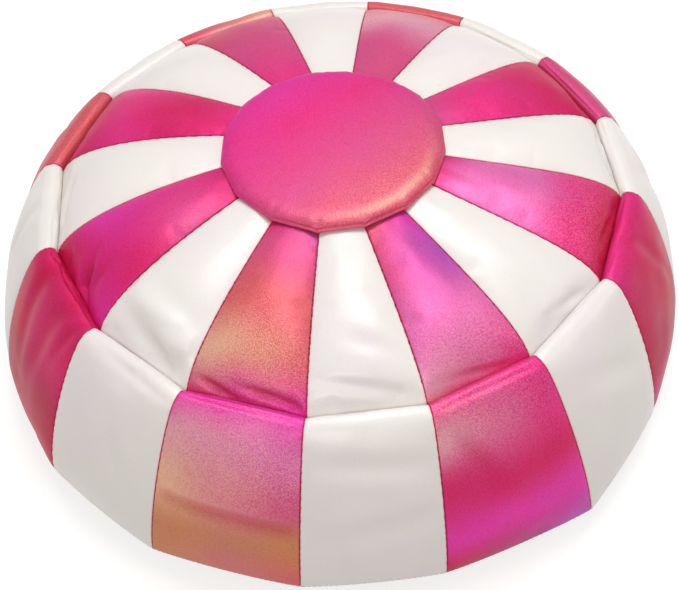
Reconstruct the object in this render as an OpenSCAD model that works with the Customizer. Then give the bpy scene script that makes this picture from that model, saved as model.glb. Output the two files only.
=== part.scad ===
// Round leather pouf: a stuffed cover of sixteen top wedges and sixteen side panels round a padded
// centre patch, closed underneath by a zip. Millimetres, +Z up, standing on z = 0 about the Z axis.
// Radii of the cover are measured at the seams, which are the corners of its many-sided outline.

/* [Cover] */
// Number of top wedges, and of side panels
panels = 16; // [12:4:20]
// Radius of the lower edge, where the sides meet the base
edge_r = 269; // [222:1:325]
// Height of the lower edge above the floor
edge_h = 20; // [16:1:26]
// Radius of the rim seam, where the top meets the sides
rim_r = 208; // [170:1:250]
// Height of the rim seam above the floor
rim_h = 134; // [108:1:162]
// How far outside the rim seam the sides roll over
lip_w = 9; // [7:0.5:12]
// How far the sides roll up above the rim seam
lip_rise = 6; // [4:0.5:8]
// Length of straight run with which the side curve leaves the roll
shoulder_run = 20; // [14:1:26]
// Fall of the side curve where it leaves the roll, in degrees
shoulder_fall = 17; // [8:1:30]
// Length of straight run with which the side curve meets the lower edge
skirt_run = 50; // [40:1:60]
// Height of the wedge tips above the rim seam
crown_rise = 46; // [36:1:56]
// Fall of the wedges at their tips, in degrees
tip_fall = 9; // [4:1:14]
// Fall of the wedges at the rim seam, in degrees
rim_fall = 68; // [55:1:80]

/* [Leather and seams] */
// Thickness of the leather
leather_t = 1.2; // [0.9:0.1:1.5]
// Width of leather turned in at the rim seam and the lower edge
turn_in = 8; // [6:0.5:10]
// Space that the thread takes in a seam
seam_gap = 0.4; // [0.2:0.1:0.5]

/* [Centre patch] */
// Radius of the padded centre patch
patch_r = 83; // [66:1:100]
// Height of the patch at its edge
patch_edge_h = 5.5; // [4:0.5:8]
// Extra height of the patch at its middle
patch_dome = 5; // [3:0.5:8]
// How far the wedges run in under the patch
patch_lap = 14; // [11:1:18]
// Width of the patch's turned-under hem
patch_hem = 12; // [8:1:12]

/* [Base] */
// How far the base slopes in from the lower edge to the floor
toe_inset = 29; // [22:1:36]
// Width of the ring that stands on the floor
foot_w = 38; // [28:1:48]
// How far the base slopes up from that ring to its raised middle
heel_run = 12; // [9:1:16]
// Height of the raised middle, which keeps the zip off the floor
base_lift = 9; // [8.5:0.5:12]

/* [Zip] */
// From the slope of the base to the end of the zip's teeth
zip_margin = 16; // [14:1:40]
// Width of the slot that shows the zip
zip_slot_w = 14; // [12.5:0.5:18]
// Width of one tape
tape_w = 14.5; // [12:0.5:18]
// Thickness of the tapes
tape_t = 0.6; // [0.4:0.1:0.8]
// How far the tapes run on past the teeth
tape_tail = 11; // [8:1:13]
// Width of one row of teeth
coil_w = 2.5; // [2.2:0.1:3]
// Height of the teeth
coil_h = 2.2; // [1.8:0.1:2.6]
// Channel between the rows, for the slider's divider
coil_channel = 1.4; // [1.2:0.1:1.8]
// Length of the slider
slider_l = 13; // [11:0.5:15]
// Thickness of the slider's plates
slider_plate_t = 1.1; // [0.9:0.1:1.3]
// Thickness of the slider's side walls
slider_wall = 1.4; // [1:0.1:1.8]
// Length of the pull
pull_l = 24; // [18:1:32]
// Width of the pull
pull_w = 6.4; // [5.6:0.2:8]
// Thickness of the pull
pull_t = 1.2; // [1:0.1:1.4]

/* [Filling] */
// Thickness of the cotton bag inside the cover
bag_t = 0.8; // [0.5:0.1:1]

/* [Clearances] */
// Between soft pieces that lie on each other
soft_gap = 0.3; // [0.2:0.05:0.4]
// Between the slider and what it runs on
slide_gap = 0.3; // [0.25:0.05:0.4]
// Between the pull and the slider's loop
hinge_gap = 0.3; // [0.2:0.05:0.35]

/* [Hidden] */

PINK = [0.86, 0.16, 0.52];
WHITE = [0.95, 0.93, 0.92];
CURVE_STEPS = 9;
FAR = 1000;
TINY = 0.01;

half = 180 / panels;
flat = cos(half);
first_seam = -90;

// The cover's main levels and radii
crown_h = rim_h + crown_rise;
tip_r = patch_r - patch_lap;
patch_z = crown_h + soft_gap;
toe_r = edge_r - toe_inset;
heel_r = toe_r - foot_w;
middle_r = heel_r - heel_run;

// The zip lies along X. Its tapes lie inside the base's leather and its teeth face the floor.
zip_half = middle_r * flat - zip_margin;
stop_l = 3;
slot_half = zip_half + stop_l + 1;
tape_z = base_lift + leather_t;
teeth_z = tape_z - coil_h;
outer_plate_z = teeth_z - slide_gap - slider_plate_t;
inner_plate_z = tape_z + tape_t + slide_gap;
slider_top = inner_plate_z + slider_plate_t;
channel_half = coil_channel / 2 + coil_w + slide_gap;
slider_half = channel_half + slider_wall;
slider_x = zip_half - slide_gap - slider_l / 2;

// The slider's loop and the bar of the pull that turns in it
bar_r = pull_t / 2;
loop_t = 1;
loop_half = 0.9;
loop_root = 0.3;
bar_z = outer_plate_z - loop_root - hinge_gap - bar_r;
loop_r = bar_r + hinge_gap + loop_t;
eye_half = loop_half + hinge_gap;
eye_l = loop_r + hinge_gap;

function bezier(a, b, c, d) = [
    for (i = [0:CURVE_STEPS])
        let (t = i / CURVE_STEPS, s = 1 - t)
            s * s * s * a + 3 * s * s * t * b + 3 * s * t * t * c + t * t * t * d
];

function without_last(list) = [for (i = [0:len(list) - 2]) list[i]];

function reversed(list) = [for (i = [len(list) - 1:-1:0]) list[i]];

function run(a, b) = (b - a) / norm(b - a);

function right_of(v) = [v[1], -v[0]];

// The same path moved to its right by a distance, with mitred corners
function inset(path, depth) = [
    for (i = [0:len(path) - 1])
        let (
            before = i == 0 ? run(path[0], path[1]) : run(path[i - 1], path[i]),
            after = i == len(path) - 1 ? before : run(path[i], path[i + 1]),
            n = right_of(before),
            m = right_of(after)
        )
            path[i] + (n + m) * depth / (1 + n * m)
];

// A sheet as thick as the leather, whose outer face follows the path
function sheet_outline(path) = concat(path, reversed(inset(path, leather_t)));

// Paths of the cover's outer face, as [radius at a seam, height], each with its turned-in end
function wedge_path(fold) =
    let (
        tip = [tip_r, crown_h],
        rim = [rim_r - seam_gap / 2, rim_h],
        span = rim_r - tip_r
    )
        concat(
            bezier(
                tip,
                tip + 0.43 * span * [cos(tip_fall), -sin(tip_fall)],
                rim + 0.66 * crown_rise * [-cos(rim_fall), sin(rim_fall)],
                rim
            ),
            [rim - [0, fold]]
        );

function side_path(fold) =
    let (
        rim = [rim_r + seam_gap / 2, rim_h],
        crest = [rim_r + lip_w, rim_h + lip_rise],
        edge = [edge_r, edge_h + seam_gap / 2],
        leave = [cos(shoulder_fall), -sin(shoulder_fall)]
    )
        concat(
            [rim - [0, fold]],
            without_last(bezier(rim, rim + [0, 0.75 * lip_rise], crest - 0.6 * lip_w * leave, crest)),
            bezier(crest, crest + shoulder_run * leave, edge + [0, skirt_run], edge),
            [edge - [fold, 0]]
        );

function base_skin(end_r) = [
    [edge_r, edge_h - seam_gap / 2],
    [toe_r, 0],
    [heel_r, 0],
    [middle_r, base_lift],
    [end_r, base_lift]
];

function base_path(end_r) = concat([[edge_r - turn_in, edge_h - seam_gap / 2]], base_skin(end_r));

// Outline of what lies inside the cover, from the axis at the top to the axis at the bottom.
// It turns round, so outer faces stay inside the flats, and the base's inner slope keeps its corners.
// At the lower edge it runs straight down past the turned-in leather to the base's outer slope.
function inner_outline(depth) =
    let (
        fold = turn_in + depth - leather_t,
        base_in = inset(base_skin(0), depth),
        up_slope = base_in[0] - base_in[1],
        past_fold = base_in[1] + up_slope * (edge_r - fold - base_in[1][0]) / up_slope[0],
        roof = slider_top + slide_gap + depth - leather_t - soft_gap
    )
        concat(
            [[0, crown_h - depth]],
            [for (p = inset(wedge_path(fold), depth)) [p[0] * flat, p[1]]],
            [for (p = inset(side_path(fold), depth)) if (p[1] < rim_h - fold - TINY) [p[0] * flat, p[1]]],
            [for (p = [past_fold, base_in[1]]) [p[0] * flat, p[1]]],
            [base_in[2], [middle_r, roof], [0, roof]]
        );

function corners(r) = [
    for (i = [0:panels - 1])
        r * [cos(first_seam + 2 * half * i), sin(first_seam + 2 * half * i)]
];

// One straight-sided segment of the cover, mitred at the seams on both sides
module gore(outline, mid_angle, gap) {
    apex = gap / 2 / sin(half);
    rotate([0, 0, mid_angle])
        intersection() {
            rotate([90, 0, 0])
                linear_extrude(height = FAR, center = true)
                    polygon([for (p = outline) [p[0] * flat, p[1]]]);
            translate([0, 0, -FAR / 2])
                linear_extrude(height = FAR)
                    polygon([
                        [apex, 0],
                        [FAR, -(FAR - apex) * tan(half)],
                        [FAR, (FAR - apex) * tan(half)]
                    ]);
        }
}

// The thread of one seam that runs out from the axis, which fills the gap between two panels
module seam_web(outline, angle) {
    rotate([0, 0, angle])
        rotate([90, 0, 0])
            linear_extrude(height = seam_gap, center = true)
                polygon(outline);
}

// A flat many-sided ring
module corner_ring(outer_r, inner_r, low, high) {
    translate([0, 0, low])
        linear_extrude(height = high - low)
            difference() {
                polygon(corners(outer_r));
                polygon(corners(inner_r));
            }
}

module prism(r, low, high) {
    translate([0, 0, low])
        linear_extrude(height = high - low)
            polygon(corners(r));
}

// A many-sided block with a domed top, drawn in by the same amount all round
module domed_prism(inward) {
    ball_r = (patch_r * patch_r + patch_dome * patch_dome) / (2 * patch_dome);
    top = patch_z + patch_edge_h + patch_dome;
    intersection() {
        prism(patch_r - inward, patch_z + inward, top);
        translate([0, 0, top - ball_r])
            sphere(r = ball_r - inward, $fn = 360);
    }
}

module medallion() {
    color(PINK)
        difference() {
            domed_prism(0);
            domed_prism(leather_t);
            prism(patch_r - patch_hem, patch_z - 1, patch_z + leather_t + TINY);
        }
}

module medallion_pad() {
    color("ivory")
        union() {
            domed_prism(leather_t + soft_gap);
            translate([0, 0, crown_h - leather_t])
                cylinder(
                    r = tip_r * flat - soft_gap,
                    h = patch_z + 2 * leather_t + soft_gap - crown_h + 1,
                    $fn = 96
                );
        }
}

module medallion_thread() {
    color("mediumvioletred")
        corner_ring(tip_r + 3, tip_r + 1, crown_h, patch_z);
}

// Odd panels are white and even panels pink, counted anticlockwise from the front
module panel(i, path) {
    color(i % 2 == 1 ? WHITE : PINK)
        gore(sheet_outline(path), first_seam + (2 * i - 1) * half, seam_gap);
}

module wedge_seam_thread() {
    color("mediumvioletred")
        for (i = [0:panels - 1])
            seam_web(sheet_outline(wedge_path(turn_in)), first_seam + 2 * half * i);
}

module side_seam_thread() {
    color("mediumvioletred")
        for (i = [0:panels - 1])
            seam_web(sheet_outline(side_path(turn_in)), first_seam + 2 * half * i);
}

module rim_seam_thread() {
    color("mediumvioletred")
        corner_ring(
            rim_r + seam_gap / 2, rim_r - seam_gap / 2,
            rim_h - turn_in, rim_h - leather_t
        );
}

// Straight-sided segments of an outline that is clear of the axis, in one piece round half a turn
module half_turn(outline, start) {
    n = len(outline);
    turns = panels / 2;
    points = [
        for (i = [0:turns], p = outline)
            let (a = start + 2 * half * i)
                [p[0] * cos(a), p[0] * sin(a), p[1]]
    ];
    sides = [
        for (i = [0:turns - 1], j = [0:n - 1])
            let (k = (j + 1) % n)
                [i * n + j, (i + 1) * n + j, (i + 1) * n + k, i * n + k]
    ];
    first = [for (j = [0:n - 1]) j];
    last = [for (j = [n - 1:-1:0]) turns * n + j];
    polyhedron(points, concat([first], sides, [last]));
}

// Half of the base, which starts at an angle and turns half way round from it. Its straight edge
// is cut back to the centre seam, and to the slot along the zip.
module base_panel(start) {
    color(WHITE)
        difference() {
            half_turn(sheet_outline(base_path(zip_slot_w / 4)), start);
            cube([2 * FAR, seam_gap, FAR], center = true);
            cube([2 * slot_half, zip_slot_w, FAR], center = true);
        }
}

module base_seam_thread() {
    color("ghostwhite") {
        corner_ring(
            edge_r - leather_t, edge_r - turn_in,
            edge_h - seam_gap / 2, edge_h + seam_gap / 2
        );
        for (side = [0, 180])
            difference() {
                seam_web(sheet_outline(base_path(0)), side);
                cube([2 * slot_half, zip_slot_w, FAR], center = true);
            }
    }
}

// Two rows of stitches on each side of the slot, on the face of the base
module zip_seam_thread() {
    color("ghostwhite")
        for (side = [-1, 1], row = [2, 5])
            translate([0, side * (zip_slot_w / 2 + row), base_lift - seam_gap / 2])
                cube([2 * slot_half, seam_gap * 1.5, seam_gap], center = true);
}

module liner_bag() {
    color("wheat")
        rotate_extrude($fn = 96)
            polygon(concat(
                inner_outline(leather_t + soft_gap),
                reversed(inner_outline(leather_t + soft_gap + bag_t))
            ));
}

module filling() {
    color("ivory")
        rotate_extrude($fn = 96)
            polygon(inner_outline(leather_t + 2 * soft_gap + bag_t));
}

module zip_tape(side) {
    color("gainsboro")
        translate([0, side * (coil_channel + tape_w) / 2, tape_z + tape_t / 2])
            cube([2 * (zip_half + tape_tail), tape_w, tape_t], center = true);
}

module zip_teeth(side) {
    color("whitesmoke")
        translate([0, side * (coil_channel + coil_w) / 2, teeth_z + coil_h / 2])
            cube([2 * zip_half, coil_w, coil_h], center = true);
}

// One stop across both rows at the closed foot of the zip, and one on each row at its head
module zip_stops() {
    row_w = coil_w + slide_gap;
    color("silver") {
        translate([-zip_half - stop_l, -coil_channel / 2 - row_w, teeth_z])
            cube([stop_l, coil_channel + 2 * row_w, coil_h]);
        for (side = [-1, 1])
            translate([zip_half + stop_l / 2, side * (coil_channel + row_w) / 2, teeth_z + coil_h / 2])
                cube([stop_l, row_w, coil_h], center = true);
    }
}

// A slider plate: square at the nose, which faces +X, and narrower at the tail
module slider_plate(low) {
    taper = slider_wall - 0.4;
    corner = 1.6;
    translate([slider_x, 0, low])
        linear_extrude(height = slider_plate_t)
            polygon([
                [-slider_l / 2, -slider_half + taper],
                [0, -slider_half],
                [slider_l / 2 - corner, -slider_half],
                [slider_l / 2, -slider_half + corner],
                [slider_l / 2, slider_half - corner],
                [slider_l / 2 - corner, slider_half],
                [0, slider_half],
                [-slider_l / 2, slider_half - taper]
            ]);
}

module zip_slider() {
    wall_l = slider_l / 2 - 1.6;
    divider_w = coil_channel - 2 * slide_gap;
    divider_l = 3;
    color("silver")
        union() {
            slider_plate(outer_plate_z);
            slider_plate(inner_plate_z);
            for (side = [-1, 1])
                translate([
                    slider_x,
                    side * (channel_half + slider_wall / 2) - slider_wall / 2,
                    outer_plate_z
                ])
                    cube([wall_l, slider_wall, tape_z - slide_gap - outer_plate_z]);
            translate([
                slider_x + slider_l / 2 - 1 - divider_l,
                -divider_w / 2,
                outer_plate_z
            ])
                cube([divider_l, divider_w, slider_top - outer_plate_z]);
            slider_loop();
        }
}

// The loop that carries the pull: a round lug below the outer plate, with room for the bar
module slider_loop() {
    foot_half = 0.85 * loop_r;
    translate([slider_x, 0, bar_z])
        difference() {
            union() {
                rotate([90, 0, 0])
                    cylinder(r = loop_r, h = 2 * loop_half, center = true, $fn = 48);
                translate([-foot_half, -loop_half, 0])
                    cube([2 * foot_half, 2 * loop_half, outer_plate_z - bar_z + slider_plate_t / 2]);
            }
            rotate([90, 0, 0])
                cylinder(r = bar_r + hinge_gap, h = 3 * loop_half, center = true, $fn = 48);
        }
}

// The pull lies flat under the slider and points to the tail, with its eye round the loop
module zip_pull() {
    color("silver")
        translate([slider_x, 0, bar_z])
            union() {
                rotate([90, 0, 0])
                    cylinder(r = bar_r, h = pull_w, center = true, $fn = 48);
                difference() {
                    translate([-pull_l + pull_w / 2, -pull_w / 2, -pull_t / 2])
                        cube([pull_l - pull_w / 2, pull_w, pull_t]);
                    translate([-eye_l, -eye_half, -pull_t])
                        cube([eye_l + pull_w, 2 * eye_half, 2 * pull_t]);
                    translate([-pull_l + pull_w / 2, 0, 0])
                        cylinder(r = pull_w / 5, h = 2 * pull_t, center = true, $fn = 48);
                }
                difference() {
                    translate([-pull_l + pull_w / 2, 0, -pull_t / 2])
                        cylinder(r = pull_w / 2, h = pull_t, $fn = 64);
                    translate([-pull_l + pull_w / 2, 0, 0])
                        cylinder(r = pull_w / 5, h = 2 * pull_t, center = true, $fn = 48);
                }
            }
}

medallion();
medallion_pad();
medallion_thread();
for (i = [1:panels]) {
    panel(i, wedge_path(turn_in));
    panel(i, side_path(turn_in));
}
wedge_seam_thread();
rim_seam_thread();
side_seam_thread();
base_panel(180);  // base_panel_front
base_panel(0);  // base_panel_back
base_seam_thread();
zip_seam_thread();
liner_bag();
filling();
zip_tape(-1);  // zip_tape_front
zip_tape(1);  // zip_tape_back
zip_teeth(-1);  // zip_teeth_front
zip_teeth(1);  // zip_teeth_back
zip_stops();
zip_slider();
zip_pull();
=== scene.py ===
import math
import bpy
import numpy as np
from mathutils import Matrix, Vector
from mathutils.bvhtree import BVHTree


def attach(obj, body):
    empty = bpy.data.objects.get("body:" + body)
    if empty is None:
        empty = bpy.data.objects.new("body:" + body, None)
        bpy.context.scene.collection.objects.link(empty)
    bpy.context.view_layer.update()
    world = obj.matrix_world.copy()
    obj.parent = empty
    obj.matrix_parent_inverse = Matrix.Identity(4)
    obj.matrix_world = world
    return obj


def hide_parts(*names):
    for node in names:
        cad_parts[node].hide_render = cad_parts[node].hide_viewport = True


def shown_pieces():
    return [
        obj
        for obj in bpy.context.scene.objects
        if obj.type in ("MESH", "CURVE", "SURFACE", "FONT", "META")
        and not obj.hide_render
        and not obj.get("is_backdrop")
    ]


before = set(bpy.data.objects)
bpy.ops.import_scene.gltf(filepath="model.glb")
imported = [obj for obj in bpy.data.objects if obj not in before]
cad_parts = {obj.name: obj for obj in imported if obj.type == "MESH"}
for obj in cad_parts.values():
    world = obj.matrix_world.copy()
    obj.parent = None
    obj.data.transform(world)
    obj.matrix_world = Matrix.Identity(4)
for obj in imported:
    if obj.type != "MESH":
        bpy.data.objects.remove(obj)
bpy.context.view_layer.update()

# ---- Camera, floor and lamps ------------------------------------------------------------
# The photograph looks down on the pouf from the front and a little to the right, and tilts
# slightly. The floor is a plain pale one, and the light comes from soft boxes overhead.
W, H = 679, 590
image_points = {
    "left side": 2.0,
    "right side": 676.3,
    "top side": 2.0,
    "bottom side": 587.4,
    "rim corner 0": (306.8, 420.8),
    "rim corner 2": (530.3, 358.8),
    "rim corner 4": (621.1, 197.8),
    "rim corner 6": (537.8, 68.1),
    "rim corner 8": (368.1, 15.1),
    "rim corner 10": (188.0, 51.5),
    "rim corner 12": (63.5, 170.9),
    "rim corner 14": (99.7, 331.9),
    "patch corner 0": (317.0, 232.4),
    "patch corner 4": (445.9, 152.0),
    "patch corner 8": (352.3, 73.1),
    "patch corner 12": (224.4, 132.3),
    "lower corner 0": (300.5, 587.4),
    "lower corner 2": (591.6, 510.0),
    "fold in top wedge 14": (84.0, 287.0),
    "fold in top wedge 15": (152.0, 347.0),
}
camera_aim = Vector((-0.0003, -0.0241, 0.0377))
camera_distance = 0.9531
camera_azimuth, camera_elevation, camera_roll = (math.radians(a) for a in (9.67, 50.47, -4.25))
camera_lens, sensor_width = 63.4, 36.0
shift_x, shift_y = 0.0, 0.0

back = Vector((
    math.sin(camera_azimuth) * math.cos(camera_elevation),
    -math.cos(camera_azimuth) * math.cos(camera_elevation),
    math.sin(camera_elevation),
))
level = (-back).cross(Vector((0, 0, 1))).normalized()
rise = level.cross(-back)
camera_right = math.cos(camera_roll) * level + math.sin(camera_roll) * rise
camera_up = math.cos(camera_roll) * rise - math.sin(camera_roll) * level
camera_place = camera_aim + back * camera_distance
camera_data = bpy.data.cameras.new("camera")
camera_data.lens, camera_data.sensor_width, camera_data.sensor_fit = camera_lens, sensor_width, "AUTO"
camera_data.shift_x, camera_data.shift_y = shift_x, shift_y
camera = bpy.data.objects.new("camera", camera_data)
camera_turn = Matrix((camera_right, camera_up, back)).transposed().to_4x4()
camera.matrix_world = Matrix.Translation(camera_place) @ camera_turn
bpy.context.collection.objects.link(camera)
bpy.context.scene.camera = camera
bpy.context.scene.view_settings.view_transform = "Standard"


def sight(x, y):
    """The direction of the line of sight through an image point."""
    longest = max(W, H)
    ray = Vector((x - W / 2 + shift_x * longest, H / 2 - y + shift_y * longest, -longest
                  * camera_lens / sensor_width))
    return (ray.x * camera_right + ray.y * camera_up + ray.z * back).normalized()


def seen_on_level(name, height):
    """Where the line of sight through a named image point comes down to a height."""
    ray = sight(*image_points[name])
    return np.array(camera_place + ray * ((height - camera_place.z) / ray.z))


def srgb(code):
    """A colour as it is written, such as ede9e5, turned into the linear numbers a shader takes."""
    c = np.array([int(code[i:i + 2], 16) for i in (0, 2, 4)]) / 255
    return np.where(c <= 0.04045, c / 12.92, ((c + 0.055) / 1.055) ** 2.4)


def add_node(tree, kind, values=None, **settings):
    """One shader node, with its input sockets filled or linked by name or number, and its settings."""
    made = tree.nodes.new(kind)
    for name, value in settings.items():
        setattr(made, name, value)
    for key, value in (values or {}).items():
        if isinstance(value, bpy.types.NodeSocket):
            tree.links.new(value, made.inputs[key])
        else:
            made.inputs[key].default_value = value
    return made


def maths(tree, operation, *values):
    """A node that does one sum with its values."""
    return add_node(tree, "ShaderNodeMath", dict(enumerate(values)), operation=operation)


def rescale(tree, value, low, high, to_low=0.0, to_high=1.0):
    """A node that stretches the range from low to high over another range, and holds its ends."""
    return add_node(tree, "ShaderNodeMapRange", {
        "Value": value, "From Min": low, "From Max": high, "To Min": to_low, "To Max": to_high})


def new_material(name):
    """A material with an empty node tree and its output node."""
    material = bpy.data.materials.new(name)
    material.use_nodes = True
    material.node_tree.nodes.clear()
    return material, material.node_tree, material.node_tree.nodes.new("ShaderNodeOutputMaterial")


# The floor shines a little of its own light to the camera, so that it shows white away from
# the pouf and still takes its shadow. From below it is clear, so that the base can be looked at.
floor_half, floor_glow = 4.0, 0.62
floor_mesh = bpy.data.meshes.new("floor")
floor_mesh.from_pydata([(-floor_half, -floor_half, 0), (floor_half, -floor_half, 0),
                        (floor_half, floor_half, 0),
                        (-floor_half, floor_half, 0)], [], [(0, 1, 2, 3)])
floor = bpy.data.objects.new("floor", floor_mesh)
bpy.context.collection.objects.link(floor)
floor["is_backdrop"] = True
floor_material, tree, out = new_material("pale floor")
paths = add_node(tree, "ShaderNodeLightPath")
seen = maths(tree, "MAXIMUM", paths.outputs["Is Camera Ray"], paths.outputs["Is Glossy Ray"])
glow = maths(tree, "MULTIPLY", seen.outputs[0], floor_glow)
upper = maths(tree, "SUBTRACT", 1.0, add_node(tree, "ShaderNodeNewGeometry").outputs["Backfacing"])
paint = add_node(tree, "ShaderNodeBsdfPrincipled", {
    "Base Color": (0.5, 0.49, 0.48, 1), "Roughness": 0.9, "Specular IOR Level": 0.1, "Alpha": upper.outputs[0],
    "Emission Color": (1, 1, 1, 1), "Emission Strength": glow.outputs[0],
})
tree.links.new(paint.outputs[0], out.inputs["Surface"])
floor_mesh.materials.append(floor_material)

room = bpy.data.worlds.new("studio")
bpy.context.scene.world = room
room.use_nodes = True
tree = room.node_tree
tree.nodes.clear()
paths = add_node(tree, "ShaderNodeLightPath")
seen = maths(tree, "MAXIMUM", paths.outputs["Is Camera Ray"], paths.outputs["Is Transmission Ray"])
room_light = 0.5
strength = add_node(tree, "ShaderNodeMix", {"Factor": seen.outputs[0], "A": room_light, "B": 1.0},
                    data_type="FLOAT")
tint = add_node(tree, "ShaderNodeMix", {0: seen.outputs[0], 6: (1, 0.965, 0.925, 1), 7: (1, 1, 1, 1)},
                data_type="RGBA")
air = add_node(tree, "ShaderNodeBackground", {"Color": tint.outputs[2], "Strength": strength.outputs[0]})
tree.links.new(air.outputs[0], add_node(tree, "ShaderNodeOutputWorld").inputs["Surface"])

# Each soft box: where it stands, how wide it is, its power in watts, its colour
soft_boxes = {
    "overhead box": ((0.1, 0.45, 1.9), 0.9, 17.5, (0.97, 0.98, 1)),
    "front box": ((-0.1, -1.6, 1.5), 0.8, 8.0, (1, 0.985, 0.975)),
    "right box": ((1.6, 0.3, 1.2), 0.7, 2.5, (0.98, 0.98, 1)),
}
for name, (place, width, power, colour) in soft_boxes.items():
    lamp = bpy.data.lights.new(name, "AREA")
    lamp.shape, lamp.size, lamp.energy, lamp.color = "SQUARE", width, power, colour
    box = bpy.data.objects.new(name, lamp)
    box.location = place
    box.rotation_euler = (Vector((0, 0, 0.1)) - Vector(place)).to_track_quat("-Z", "Y").to_euler()
    bpy.context.collection.objects.link(box)

# ---- Top wedges -------------------------------------------------------------------------
# Sixteen wedges of 1.2 mm coated leather, white and pink in turn, sewn side by side with the
# edges turned in. They run from under the centre patch to the rim seam, where they dip steeply.
MM = 0.001
panels = 16
step = 2 * math.pi / panels
leather_t = 1.2 * MM
tip_r, crown_h, rim_r, rim_h = (n * MM for n in (69, 180, 208, 134))
tip_fall, rim_fall = math.radians(9), math.radians(68)

# The patch that hides the tips: its widest ring, and that ring's height above the tips
patch_r, patch_ring_h = 83 * MM, 1.8 * MM


def corner_moves(name, seen, radius, height):
    """How far the corners of a ring that have an image point were sewn outwards and round about
    from an even ring of that radius and height."""
    moves = {}
    for k in seen:
        angle = -math.pi / 2 + k * step
        x, y, _ = seen_on_level(f"{name} {k}", height)
        moves[k] = (x * math.cos(angle) + y * math.sin(angle) - radius, y * math.cos(angle) - x
                    * math.sin(angle))
    return moves


def share_round(moves):
    """The moves of all sixteen corners: those between two seen ones take an even share of both."""
    k = np.arange(panels)
    return [np.interp(k, list(moves), values, period=panels) for values in zip(*moves.values())]


rim_out, rim_round = share_round(corner_moves("rim corner", range(0, panels, 2), rim_r, rim_h))
patch_out, patch_round = share_round(corner_moves("patch corner", range(0, panels, 4), patch_r, crown_h
                                                  + patch_ring_h))


def smooth_through(values, places):
    """A natural cubic curve through values set at equal steps from 0 to 1, read at the places."""
    y = np.asarray(values, float)
    n = len(y) - 1
    bend = np.zeros_like(y)
    if n > 1:
        system = 4 * np.eye(n - 1) + np.eye(n - 1, k=1) + np.eye(n - 1, k=-1)
        load = 6 * (y[:-2] - 2 * y[1:-1] + y[2:])
        bend[1:-1] = np.linalg.solve(system, load.reshape(n - 1, -1)).reshape(load.shape)
    x = np.clip(places, 0, 1) * n
    i = np.minimum(x.astype(int), n - 1)
    f = (x - i).reshape((-1,) + (1,) * (y.ndim - 1))
    g = 1 - f
    return g * y[i] + f * y[i + 1] + ((g ** 3 - g) * bend[i] + (f ** 3 - f) * bend[i + 1]) / 6


def even_path(points, places):
    """The points of a path, re-read at the given shares of its length."""
    run = np.r_[0, np.cumsum(np.linalg.norm(np.diff(points, axis=0), axis=1))]
    return np.stack([np.interp(np.asarray(places) * run[-1], run, c) for c in points.T], -1)


def turned(angle, out_by, round_by, height):
    """Points at a distance out from the axis along an angle, moved round about, at a height."""
    c, s = np.cos(angle), np.sin(angle)
    return np.stack([out_by * c - round_by * s, out_by * s + round_by * c, height + 0 * (out_by + angle)], -1)


def bezier(corners, count=200):
    """A cubic curve from the first corner to the last, drawn towards the two between."""
    t = np.linspace(0, 1, count)[:, None]
    a, b, c, d = (np.array(p) for p in corners)
    return (1 - t) ** 3 * a + 3 * (1 - t) ** 2 * t * b + 3 * (1 - t) * t ** 2 * c + t ** 3 * d


wedge_run = rim_r - tip_r
wedge_profile = bezier([
    (tip_r, crown_h),
    (tip_r + 0.43 * wedge_run * math.cos(tip_fall), crown_h - 0.43 * wedge_run * math.sin(tip_fall)),
    (rim_r - 0.66 * 46 * MM * math.cos(rim_fall), rim_h + 0.66 * 46 * MM * math.sin(rim_fall)),
    (rim_r, rim_h),
])


def lean(angle, along):
    """The filling sits 3 mm higher on the left than on the right, most half way along a seam."""
    return -3 * MM * np.cos(angle) * np.sin(np.pi * along)


def wedge_seam(k, along):
    """Seam k: the wedges' profile turned to the seam's angle, running straight from the patch's
    corner to the rim's."""
    k = k % panels
    angle = -math.pi / 2 + k * step
    path = even_path(wedge_profile, along)
    share = (path[:, 0] - tip_r) / wedge_run
    wander = patch_round[k] * (1 - share) + rim_round[k] * share
    out_by = path[:, 0] + rim_out[k] * along ** 3
    return turned(angle, out_by, wander, path[:, 1] + lean(angle, along))


def panel_normals(points):
    """Outward normals of a grid of points, across by along, from the runs between neighbours."""
    across, along = np.gradient(points, axis=1), np.gradient(points, axis=0)
    n = np.cross(along, across)
    return n / np.linalg.norm(n, axis=-1, keepdims=True)


def crowded(count):
    """Places from -1 to 1 that crowd together towards both ends, as a cosine does."""
    return -np.cos(np.linspace(0, np.pi, count))


def span(left, right, across):
    """The straight sheet between two seams, each row carried from one to the other."""
    share = ((across + 1) / 2)[None, :, None]
    return left[:, None] * (1 - share) + right[:, None] * share


def pillow(across):
    """Height of a stuffed panel across its width: nothing at the seams, 1 in the middle."""
    return np.clip(1 - across ** 2, 0, 1) ** 0.8


def seam_drop(points, radius):
    """How far the leather dips at both seams: a quarter circle of that radius, by the distance
    from the nearer seam."""
    to_left = np.linalg.norm(points - points[:, :1], axis=-1)
    to_right = np.linalg.norm(points - points[:, -1:], axis=-1)
    d = np.minimum(np.minimum(to_left, to_right), radius)
    return radius - np.sqrt(radius ** 2 - (radius - d) ** 2), np.minimum(to_left, to_right)


def wedge_puff(along):
    """How far a wedge stands off its seams: little at the tip, most two thirds of the way out."""
    height = 1.0 + 5.0 * np.sin(np.pi * np.clip(along, 0, 1) ** 1.25) ** 0.9
    return height * MM * np.clip((1 - along) / 0.12, 0, 1) ** 0.5


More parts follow.
